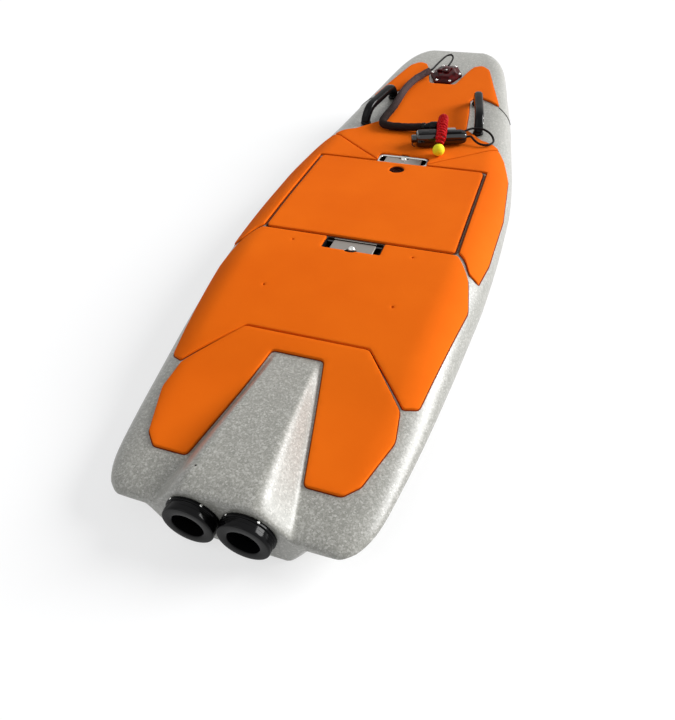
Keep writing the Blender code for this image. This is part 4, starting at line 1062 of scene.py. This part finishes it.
RING_PROFILE = (
    (0.0300, -GAP), (0.0455, -GAP), (0.0465, -0.0012), (0.0465, -0.0050), (0.0455, -0.0060),
    (0.0440, -0.0063), (0.0436, -0.0070), (0.0436, -0.0115), (0.0443, -0.0122), (0.0443, -0.0165),
    (0.0441, -0.0200), (0.0435, -0.0212), (0.0424, -0.0218), (0.0410, -0.0219), (0.0292, -0.0219),
    (0.0282, -0.0216), (0.0274, -0.0208), (0.0270, -0.0192), (0.0270, -0.0033),
)
RING_RADIUS = 0.0455
RING_SCREW = ((0, 0.0022), (0.0016, 0.0022), (0.0024, 0.0014), (0.0024, 0.0))


def make_ring(side, x):
    place = (x, 0.0, JET_HEIGHT)
    piece("jet_ring_" + side, turned(RING_PROFILE, place), GLOSS, ["nozzle_ring_" + side], sharp=28)
    heads = []
    for angle in (60, 132):
        turn = radians(angle)
        c = cos(turn)
        s = sin(turn)
        spot = (x + RING_RADIUS * c, -0.0030, JET_HEIGHT + RING_RADIUS * s)
        heads.append(lathe(RING_SCREW, spot, (c, 0, s), 18))
    piece("ring_screws_" + side, merged(heads), STEEL)


# Hatch furniture


LEVER_HALF = 0.049
LEVER_DEPTH = 0.036
LEVER_THICKNESS = 0.005
LEVER_ROUND = 0.0018
HINGE_FROM_EDGE = 0.008
NOTCH_HALF = 0.0135
CUP_WALL = ((0.0, -0.018), (0.0, -0.0006), (0.0004, 0.0), (0.0012, 0.0), (0.0016, -0.0008), (0.0016, -0.016))
CUP_RIM = (
    (-0.0018, -0.0006), (-0.0014, 0.0008), (-0.0006, 0.0013),
    (0.0004, 0.0013), (0.0010, 0.0006), (0.0010, -0.0006),
)
KNOB = (
    (0, 0.0064), (0.0030, 0.0061), (0.0056, 0.0050), (0.0074, 0.0033), (0.0084, 0.0010), (0.0086, -0.0030),
    (0, -0.0030),
)


def lever_outline(near, far, way):
    """The lever's outline, with the round notch for a finger in its outer edge."""
    rear, front = sorted((near, far))
    outline = rounded(rectangle(LEVER_HALF, rear, front), 0.0040)
    notch = arc_over(NOTCH_HALF, far, -way * 0.0105, np.linspace(0.06, pi - 0.06, 22))
    made = []
    for i, point in enumerate(outline):
        made.append(point)
        following = outline[(i + 1) % len(outline)]
        along_far = abs(point[1] - far) < 0.0001 and abs(following[1] - far) < 0.0001
        if along_far and point[0] * following[0] < 0:
            made += notch if point[0] > 0 else notch[::-1]
    return made


def make_cup(name, rear, front, high):
    rings = []
    for inwards, z in CUP_WALL:
        corner = 0.0062 - inwards
        outline = rounded(rectangle(LATCH_HALF - inwards, rear + inwards, front - inwards), corner, 5)
        rings.append(at_height(outline, high + z))
    piece("latch_pocket_" + name, solid(rings), SATIN, ["latch_cup_" + name], sharp=25)
    rings = []
    wide = 2.0 if name == "front" else 0.9
    for outwards, z in CUP_RIM:
        outwards *= wide
        corner = 0.0065 * wide + outwards
        outline = rounded(rectangle(LATCH_HALF + outwards, rear - outwards, front + outwards), corner, 6)
        rings.append(at_height(outline, high + z))
    mesh = mesh_of(*grid(rings + [rings[0]], caps=False))
    piece("latch_rim_" + name, mesh, STEEL if name == "front" else SATIN, sharp=30)


def make_lever(name, way, edge, high):
    """The lever with its hinge pin and knob."""
    body = "latch_" + name
    axis_y = edge + way * HINGE_FROM_EDGE
    axis_z = high - 0.001 - LEVER_THICKNESS / 2
    low = axis_z - LEVER_THICKNESS / 2
    near = axis_y - way * 0.0045
    far = near + way * LEVER_DEPTH
    outline = lever_outline(near, far, way)

    def level(x, y):
        return np.full(np.shape(x), low)

    top = sheet_over(outline, LEVER_ROUND, LEVER_THICKNESS, 0.005, height=level, base=0.0)
    mesh = merged([top, prism(outline, low, axis_z - 0.0021)])
    piece("latch_plate_" + name, mesh, CAST, ["latch_lever_" + name], body)
    pin = drum(0.0021, (-0.0625, axis_y, axis_z), (0.0625, axis_y, axis_z), 24)
    piece("latch_pin_" + name, pin, DARK, body=body)
    knob = lathe(KNOB, (0, far - way * 0.0092, axis_z + 0.0022), sides=40)
    piece("latch_knob_" + name, knob, STEEL, body=body)


def make_latch(name, way, edge):
    high = deck_height(edge)
    rear, front = sorted((edge, edge + way * LATCH_WIDTH))
    make_cup(name, rear, front, high)
    make_lever(name, way, edge, high)
    outer = edge + way * (LATCH_WIDTH + PAD_SEAM / 2 - 0.0006)
    # A flat dark sheet in the pad's finger notch, painted shade for the depth of a hollow
    notch_shade = rounded(arc_over(NOTCH_HALF, outer, way * 0.0068, np.linspace(0, pi, 24)), 0.0008, 2)
    piece("finger_notch_shade_" + name, sheet_over(notch_shade, 0.0002, 0.0006, 0.006), NOTCH_SHADE)
    rear, front = sorted((edge - way * 0.0024, edge + way * 0.0022))
    bar = block((-LEVER_HALF, rear, high - 0.0012), (LEVER_HALF, front, high + 0.0010), 0.0008)
    piece("hinge_bar_" + name, bar, CAST)


VENT_PROFILE = (
    (0.0, -0.0040), (0.0075, -0.0040), (0.0080, -0.0022), (0.0105, -0.0022), (0.0110, -0.0040),
    (0.0145, -0.0040), (0.0155, -0.0010), (0.0172, 0.0), (0.0186, -0.0005), (0.0190, -0.0018),
    (0.0190, -0.0140), (0.0, -0.0140),
)


def make_vent():
    place = (0, VENT_AT, deck_height(VENT_AT) + PAD_THICKNESS - 0.002)
    piece("vent_cap", lathe(VENT_PROFILE, place, sides=64), VENT, ["hatch_vent"], body="hatch")


# Handles, plate and cords


def superellipse(angle, wide, high, power):
    """A point of a rounded rectangle's outline."""
    c = cos(angle)
    s = sin(angle)
    return wide * copysign(abs(c) ** power, c), high * copysign(abs(s) ** power, s)


HANDLE_FEET = ((0.5430, 0.6940), (0.4290, 0.7900))
HANDLE_RISE = 0.038
HANDLE_ARCH = (
    (0.0, 0.0), (0.0, 0.26), (0.050, 0.62), (0.140, 0.91), (0.250, 1.0), (0.40, 1.0),
    (0.55, 1.0), (0.72, 1.0), (0.86, 0.95), (0.95, 0.70), (1.0, 0.26), (1.0, 0.0),
)
FOOT_REACH = 0.0145
FOOT = (
    (0, 0), (FOOT_REACH, 0), (0.0150, 0.0008), (0.0148, 0.0030), (0.0138, 0.0052), (0.0125, 0.0066),
    (0, 0.0066),
)
HANDLE_SCREW = ((0, 0.0014), (0.0022, 0.0012), (0.0029, 0.0004), (0.0029, -0.001))


def make_handle(side, sign):
    feet = []
    reach = (-FOOT_REACH, FOOT_REACH)
    for x, y in HANDLE_FEET:
        x *= sign * HALF_WIDTH
        y *= LENGTH
        high = max(deck(x + a, y + b) for a in reach for b in reach)
        feet.append(Vector((x, y, high + 0.0009)))
    rear, front = feet
    route = [rear.lerp(front, along) + Vector((0, 0, up * HANDLE_RISE)) for along, up in HANDLE_ARCH]
    path = smooth_route(route, 0.0022)
    ring = [superellipse(a, 0.0124, 0.0116, 0.72) for a in around(40)]
    bar = sweep(path, lambda share: ring)
    mesh = merged([bar] + [lathe(FOOT, foot) for foot in feet])
    piece("grab_handle_" + side, mesh, GLOSS, ["handle_" + side], sharp=50)
    screws = []
    for along in (0.13, 0.20, 0.80, 0.87):
        spot = path[int(along * (len(path) - 1))] + Vector((sign * 0.0120, 0, 0))
        screws.append(lathe(HANDLE_SCREW, spot, (sign, 0, 0), 20))
    piece("handle_screws_" + side, merged(screws), STEEL)


PLATE_LONG = 0.061
PLATE_LAYERS = (
    (1.0, 0.0), (1.0, 0.0045), (0.985, 0.0062), (0.955, 0.0070), (0.78, 0.0076),
    (0.66, 0.0092), (0.60, 0.0120), (0.56, 0.0130), (0.46, 0.0132),
)
PLATE_BOSS = (
    (0, 0.0190), (0.0035, 0.0190), (0.0042, 0.0176), (0.0088, 0.0176), (0.0105, 0.0168), (0.0110, 0.0150),
    (0.0112, 0.0125),
)
OUTER_BOLT = (
    (0, 0.0098), (0.0012, 0.0098), (0.0016, 0.0104), (0.0030, 0.0102), (0.0040, 0.0090), (0.0042, 0.0068),
)
OUTER_BOLTS = (
    (0.043, 0.0), (0.021, 0.052), (-0.021, 0.052), (-0.043, 0.0), (-0.021, -0.052), (0.021, -0.052),
)
CENTRE_BOLT = ((0, 0.0200), (0.0022, 0.0200), (0.0032, 0.0192), (0.0034, 0.0176))


def hexagon(scale):
    wide, long, flat = 0.051 * scale, PLATE_LONG * scale, 0.025 * scale
    corners = [(wide, 0), (flat, long), (-flat, long), (-wide, 0), (-flat, -long), (flat, -long)]
    return rounded(corners, 0.006 * scale, 6)


def make_plate():
    rise = deck_height(PLATE_CENTRE + PLATE_LONG) - deck_height(PLATE_CENTRE - PLATE_LONG)
    tilt = math.atan2(rise, 2 * PLATE_LONG)
    place = (0, PLATE_CENTRE, deck_height(PLATE_CENTRE) + 0.0009)
    at = Matrix.Translation(place) @ Matrix.Rotation(tilt, 4, "X")
    body = solid([at_height(hexagon(scale), z) for scale, z in PLATE_LAYERS])
    lug = block((-0.0300, -0.0040, 0.0100), (-0.0120, 0.0040, 0.0185), 0.0018)
    mesh = merged([body, lathe(PLATE_BOSS, (0, 0, 0)), lug])
    mesh.transform(at)
    piece("anchor_plate", mesh, RED, ["tether_plate"], sharp=30)
    bolts = [lathe(OUTER_BOLT, (x, y, 0), sides=24) for x, y in OUTER_BOLTS]
    bolts.append(lathe(CENTRE_BOLT, (0, 0, 0), sides=24))
    mesh = merged(bolts)
    mesh.transform(at)
    piece("plate_bolts", mesh, STEEL)


SLEEVE_RADIUS = 0.0115
CLIP_LENGTH = 0.030
CORD_RADIUS = 0.0029
COIL_RADIUS = 0.014
STRAND_RADIUS = 0.0022
COIL_PITCH = 2 * STRAND_RADIUS + 0.0038
BALL_RADIUS = 0.0158
BALL_TILT = 50
BALL_SHARE = (0.2838, 0.6075)
ON_PAD = GAP + PAD_THICKNESS
SLEEVE_ROUTE = (
    (-0.165, 0.8670, 0.008), (-0.250, 0.8500, 0.002), (-0.307, 0.8253, 0.0), (-0.333, 0.7957, 0.0),
    (-0.337, 0.7634, 0.0), (-0.347, 0.7312, 0.0), (-0.363, 0.7043, 0.0), (-0.356, 0.6839, 0.0),
    (-0.290, 0.6753, 0.0), (-0.191, 0.6742, 0.0), (-0.080, 0.6750, 0.001), (0.030, 0.6763, 0.0035),
)
PLATE_LOOP_ROUTE = (
    (-0.119, 0.8880, 0.024), (-0.089, 0.9065, 0.026), (-0.060, 0.9215, 0.027), (-0.020, 0.9300, 0.027),
    (0.018, 0.9215, 0.026), (0.022, 0.9065, 0.025), (0.008, 0.8925, 0.022),
)
COIL_ROUTE = (
    (0.206, 0.6780, 0.022), (0.228, 0.6735, 0.036), (0.243, 0.6650, 0.051),
    (0.255, 0.6540, 0.060), (0.266, 0.6420, 0.059), (0.276, 0.6310, 0.051),
)
WRIST_LOOP_ROUTE = (
    (0.5520, 0.6540, 0.0080), (0.6050, 0.6500, 0.0035), (0.6650, 0.6500, 0.0030), (0.7050, 0.6600, 0.0030),
    (0.7030, 0.6715, 0.0040), (0.6630, 0.6805, 0.0090), (0.6000, 0.6840, 0.0150), (0.5300, 0.6825, 0.0180),
    (0.4700, 0.6760, 0.0180),
)
CLIP_STEPS = (
    (0.0100, 0.0), (0.0113, 0.06), (0.0115, 0.35), (0.0098, 0.42),
    (0.0098, 0.55), (0.0115, 0.62), (0.0113, 0.94), (0.0100, 1.0),
)
SWIVEL_CUFF = (
    (0.0117, -0.0060), (0.0117, -0.0005), (0.0122, 0.0015), (0.0122, 0.0130), (0.0127, 0.0142),
    (0.0137, 0.0142), (0.0142, 0.0132), (0.0142, 0.0005), (0.0136, -0.0048), (0.0126, -0.0060),
)


def on_surface(route, radius, lift):
    """Places of a route's shares of width and length, each a height over the deck."""
    made = []
    for x_share, y_share, up in route:
        x, y = x_share * HALF_WIDTH, y_share * LENGTH
        made.append(Vector((x, y, deck(x, y) + lift + GAP + radius + up)))
    return made


def folded_section(share):
    """The sleeve's outline, with soft folds that change along it."""
    made = []
    for angle in around(28):
        c = cos(angle)
        s = sin(angle)
        r = SLEEVE_RADIUS * (0.95 + 0.10 * noise.noise(Vector((share * 34, c * 1.4, s * 1.4))))
        made.append((r * c * 1.03, r * s * 0.93))
    return made


def make_sleeve():
    """The tether sleeve and its clip; gives the sleeve's route and the clip's far end and direction."""
    rough = smooth_route(on_surface(SLEEVE_ROUTE, SLEEVE_RADIUS, ON_PAD), SLEEVE_RADIUS * 2)
    line = smooth_route(rough, 0.004)
    mesh = sweep(line, folded_section)
    cover = piece("tether_cover", mesh, FABRIC, ["tether_sleeve"], sharp=60)
    way = (rough[-1] - rough[-2]).normalized()
    start = rough[-1] + way * GAP
    end = start + way * CLIP_LENGTH
    clip = piece("tether_clip", solid(straight_rows(start, end, CLIP_STEPS, 40)), GLOSS, ["leash_clip"])
    return rough, end, (end - start).normalized()


def make_loop(name, line, stands_for):
    loop = piece(name, sweep(line, circle(CORD_RADIUS)), RUBBER, [stands_for])


def make_anchor_loop(sleeve):
    way = (sleeve[0] - sleeve[1]).normalized()
    start = sleeve[0] + way * GAP
    route = [start, start + way * SLEEVE_RADIUS] + on_surface(PLATE_LOOP_ROUTE, CORD_RADIUS, 0)
    make_loop("anchor_loop", smooth_route(smooth_route(route, CORD_RADIUS * 5), 0.004), "plate_loop")


def wound(core, side):
    """A cord wound about a core, drawn in towards both ends."""
    frames = []
    travelled = distances(core)
    for i, place in enumerate(core):
        along = heading(core, i)
        side = (side - along * side.dot(along)).normalized()
        frames.append((place, side, side.cross(along)))
    turns = travelled[-1] / COIL_PITCH
    count = int(turns * 20)
    points = []
    for k in range(count + 1):
        share = k / count
        at = share * (len(frames) - 1)
        i = min(int(at), len(frames) - 2)
        place, s, u = (a.lerp(b, at - i) for a, b in zip(frames[i], frames[i + 1]))
        drawn_in = min(1.0, 0.76 + max(0.0, share - 0.11) * 4, 0.76 + (1 - share) * 3)
        reach = (COIL_RADIUS - STRAND_RADIUS) * drawn_in
        angle = 2 * pi * turns * share
        points.append(place + s * (reach * cos(angle)) + u * (reach * sin(angle)))
    return points


def make_leash(clip_end, way):
    x, y = BALL_SHARE[0] * HALF_WIDTH, BALL_SHARE[1] * LENGTH
    centre = Vector((x, y, pad_top(x, y) + BALL_RADIUS + GAP))
    slope = radians(BALL_TILT)
    out = Vector((0, cos(slope), sin(slope)))
    meeting = centre + out * (BALL_RADIUS + GAP)
    route = [clip_end + way * COIL_RADIUS] + on_surface(COIL_ROUTE, 0, ON_PAD - GAP)
    route.append(meeting + out * COIL_RADIUS)
    core = [clip_end + way * GAP] + smooth_route(route, COIL_RADIUS) + [meeting]
    points = wound(smooth_route(core, 0.001), way.cross(Vector((0, 0, 1))).normalized())
    mesh = sweep(points, circle(STRAND_RADIUS, 10))
    coil = piece("leash_winding", mesh, LEASH, ["leash_coil"], sharp=60)
    piece("leash_swivel", turned(SWIVEL_CUFF, clip_end, way, 48), GLOSS)
    arc = [pi * k / 24 for k in range(25)]
    profile = [(max(BALL_RADIUS * sin(a), 0.0), BALL_RADIUS * cos(a)) for a in arc]
    ball = piece("leash_float", lathe(profile, centre, out), BALL, ["leash_ball"], sharp=60)


# Hand control

HANDSET_AT = (0.2475 * HALF_WIDTH, 0.6430 * LENGTH)
HANDSET_TURN = Matrix.Rotation(radians(19), 4, "Z")
HANDSET_LENGTH = 0.145
HANDSET_HALF = 0.024
HANDSET_HIGH = 0.019
HANDSET_SECTIONS = (
    (-0.445, 0.64, 0.70), (-0.430, 0.84, 0.88), (-0.385, 0.96, 0.98), (-0.300, 1.00, 1.00),
    (-0.120, 1.00, 1.00), (-0.020, 0.88, 0.90), (0.080, 0.76, 0.82), (0.380, 0.76, 0.82),
    (0.450, 0.66, 0.74), (0.490, 0.44, 0.52), (0.500, 0.20, 0.28),
)
CONTROL_BOSS = ((0.0085, 0.0), (0.0100, 0.05), (0.0105, 0.12), (0.0105, 1.0))


def handset_ring(along, wide, high, sides):
    ring = []
    for angle in around(sides, 0.5):
        across, up = superellipse(angle, HANDSET_HALF * wide, HANDSET_HIGH * high, 0.55)
        ring.append(HANDSET_TURN @ Vector((along * HANDSET_LENGTH, across, up)))
    return ring


def handset_place():
    x, y = HANDSET_AT
    points = [p for row in HANDSET_SECTIONS for p in handset_ring(*row, 16)]
    return Vector((x, y, GAP + max(pad_top(x + p.x, y + p.y) - p.z for p in points)))


def soft_top(wide, high):
    """A thin cover over the upper side of the hand control."""
    rows = []
    for s in np.linspace(-0.41, 0.47, 45):
        arc = [p for p in handset_ring(s, wide(s), high(s), 96) if p.z > 0.0166 * high(s)]
        upper = [p + Vector((0, 0, 0.0007)) for p in arc]
        rows.append(upper + [p - Vector((0, 0, 0.0012)) for p in reversed(arc)])
    return solid(rows)


def make_handset():
    """The hand control; gives both ends of its wrist loop and the direction in which they leave."""
    at = handset_place()
    table = np.array(HANDSET_SECTIONS)
    wide = smooth_table(table[:, 0], table[:, 1])
    high = smooth_table(table[:, 0], table[:, 2])
    ends = (np.linspace(-0.445, -0.385, 12), np.linspace(-0.37, 0.44, 40), np.linspace(0.45, 0.5, 14))
    body = solid([handset_ring(s, wide(s), high(s), 48) for s in np.concatenate(ends)])
    body.transform(Matrix.Translation(at))
    turn = Matrix.Translation(at) @ HANDSET_TURN
    boss = solid(straight_rows((-0.0775, 0, 0), (-0.050, 0, 0), CONTROL_BOSS, 40))
    rear_block = block((0.010, 0.012, -0.013), (0.048, 0.036, 0.013), 0.004)
    parting = block((-0.0640, -0.0205, -0.0004), (0.0660, 0.0205, 0.0004), 0.0002, 1)
    button = block((-0.050, -0.010, 0.0180), (-0.030, 0.008, 0.0198), 0.0008)
    display = block((0.008, -0.0120, 0.0120), (0.058, 0.0080, 0.0186), 0.0030)
    for mesh in (boss, rear_block, parting, button, display):
        mesh.transform(turn)
    piece("hand_control", merged([body, boss, rear_block]), SHELL, ["handset"], sharp=50)
    cover = soft_top(wide, high)
    cover.transform(Matrix.Translation(at))
    piece("control_trim", merged([parting, button, display, cover]), SATIN)
    arc = []
    for t in np.linspace(0, pi, 24):
        along = -0.070 - 0.006 * sin(t)
        arc.append(turn @ Vector((along, -0.006 - 0.020 * (t / pi), -0.004 - 0.006 * sin(t / 2))))
    piece("trigger_arc", sweep(arc, circle(0.0011, 12)), RUBBER)
    grip = at + (HANDSET_TURN @ Vector((HANDSET_LENGTH / 2 + GAP, 0, 0)))
    ring = at + (HANDSET_TURN @ Vector((0.048 + GAP, HANDSET_HALF, 0)))
    return grip, ring, HANDSET_TURN @ Vector((1, 0, 0))


def make_wrist_loop(grip, ring, way):
    lead = way * CORD_RADIUS * 4
    route = [grip + lead] + on_surface(WRIST_LOOP_ROUTE, CORD_RADIUS, ON_PAD) + [ring + lead]
    line = smooth_route([grip] + smooth_route(route, CORD_RADIUS * 5) + [ring], 0.004)
    make_loop("wrist_cord", line, "wrist_loop")


# Nodes that keep their own shape

CARRIED = {"hatch_lid": HULL, "hatch_gasket": RUBBER, "battery": SATIN}
for side, sign in SIDES:
    for kind, finish in (("impeller", CAST), ("fin_box", MATTE)):
        CARRIED[kind + "_" + side] = finish
    for kind in ("pump_tube", "intake_grille", "motor"):
        CARRIED[kind + "_" + side] = DARK


PLUG = ((0, 0.0130), (0.0115, 0.0130), (0.0130, 0.0118), (0.0130, 0.0060), (0.0160, 0.0045), (0.0160, 0.0))
RIB_HALF = 0.0045
BAR_INSET = 0.012
BAR_WIDTH = 0.014
GRIP_LINE = ((-0.060, 0), (-0.060, 0.008), (-0.052, 0.0135), (0.052, 0.0135), (0.060, 0.008), (0.060, 0))


def make_battery_trim():
    low, high = (Vector(corner) + Vector((0, ORIGIN, 0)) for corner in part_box("battery"))
    top = high.z + GAP
    ribs = []
    for x in np.linspace(-0.125, 0.125, 9):
        front = (x + RIB_HALF, high.y - 0.045, top + 0.0032)
        ribs.append(block((x - RIB_HALF, low.y + 0.045, top), front, 0.0012))
    for rear in (low.y + BAR_INSET, high.y - BAR_INSET - BAR_WIDTH):
        front = (high.x - BAR_INSET, rear + BAR_WIDTH, top + 0.0050)
        ribs.append(block((low.x + BAR_INSET, rear, top), front, 0.0016))
    piece("battery_ribs", merged(ribs), MATTE)
    grips = []
    for y in (low.y + 0.034, high.y - 0.034):
        line = [(x, y, top + up) for x, up in GRIP_LINE]
        grips.append(sweep(smooth_route(line, 0.003), circle(0.0042, 14)))
    piece("battery_grips", merged(grips), RUBBER)
    piece("battery_plug", lathe(PLUG, (0.148, high.y - 0.075, top), sides=40), DARK)


def dress_carried():
    for name, finish in CARRIED.items():
        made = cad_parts[name]
        for k in range(len(made.material_slots)):
            made.material_slots[k].material = finish[0]


# Camera, floor and light


def make_camera():
    data = bpy.data.cameras.new("camera")
    data.lens = 30.0
    data.sensor_width = 36.0
    data.sensor_fit = "AUTO"
    made = linked("camera", data)
    made.location = (0.3606, -1.3205, 0.8654)
    made.rotation_euler = [radians(a) for a in (46.6935, 2.2642, 19.0428)]
    bpy.context.scene.camera = made


def seen_by_camera(tree):
    """Whether the camera sees the place straight or in a reflection, and the node that tells it."""
    path = node(tree, "LightPath")
    return mathematics(tree, "MAXIMUM", path.outputs["Is Camera Ray"], path.outputs["Is Glossy Ray"]), path


def make_floor():
    size = 8.0
    mesh = mesh_of([(-size, -size, 0), (size, -size, 0), (size, size, 0), (-size, size, 0)], [(0, 1, 2, 3)])
    made = linked("floor", mesh)
    made.location.z = -0.0006
    finish, tree, shader, place = base("floor_white", (0.92, 0.92, 0.92), 0.9)
    colour = ramp(tree, grain(tree, place, 2.0), (0.0, (0.90, 0.90, 0.90)), (1.0, (0.92, 0.92, 0.92)))
    tree.links.new(colour, shader.inputs["Base Color"])
    share = mathematics(tree, "MULTIPLY", seen_by_camera(tree)[0], 0.6)
    white = node(tree, "Emission", {"Color": (1, 1, 1, 1), "Strength": 1.08})
    both = node(tree, "MixShader", {0: share, 1: shader.outputs[0], 2: white.outputs[0]})
    tree.links.new(both.outputs[0], tree.nodes["Material Output"].inputs["Surface"])
    mesh.materials.append(finish)


def make_lamp(name, towards, strength, spread_angle):
    data = bpy.data.lights.new(name, "SUN")
    data.energy = strength
    data.angle = radians(spread_angle)
    linked(name, data).rotation_euler = Vector(towards).to_track_quat("Z", "Y").to_euler()


def make_light():
    world = bpy.data.worlds.new("studio")
    bpy.context.scene.world = world
    world.use_nodes = True
    tree = world.node_tree
    tree.nodes.clear()
    seen, path = seen_by_camera(tree)
    seen = mathematics(tree, "MAXIMUM", seen, path.outputs["Is Transmission Ray"])
    soft = node(tree, "Background", {"Color": (0.95, 0.97, 1.0, 1), "Strength": 0.38})
    white = node(tree, "Background", {"Color": (1, 1, 1, 1), "Strength": 1.0})
    both = node(tree, "MixShader", {0: seen, 1: soft.outputs[0], 2: white.outputs[0]})
    out = node(tree, "OutputWorld")
    tree.links.new(both.outputs[0], out.inputs["Surface"])
    make_lamp("key", (0.76, 0.44, 0.42), 4.3, 30)
    make_lamp("fill", (-0.45, -0.55, 0.9), 0.30, 40)


make_camera()
sleeve, clip_end, clip_way = make_sleeve()
make_anchor_loop(sleeve)
make_leash(clip_end, clip_way)
make_wrist_loop(*make_handset())
make_deck()
make_hull()
make_tail_pad()
make_mid_pad()
make_side_pads()
make_bow_pad()
make_hatch_edges()
make_hatch_pad()
make_mould_lines()
for side, x in JETS:
    make_ring(side, x)
for name, way, edge in latch_edges():
    make_latch(name, way, edge)
make_vent()
for side, sign in SIDES:
    make_handle(side, sign)
make_plate()
make_battery_trim()
dress_carried()
make_floor()
make_light()
bpy.context.scene.view_settings.view_transform = "Standard"
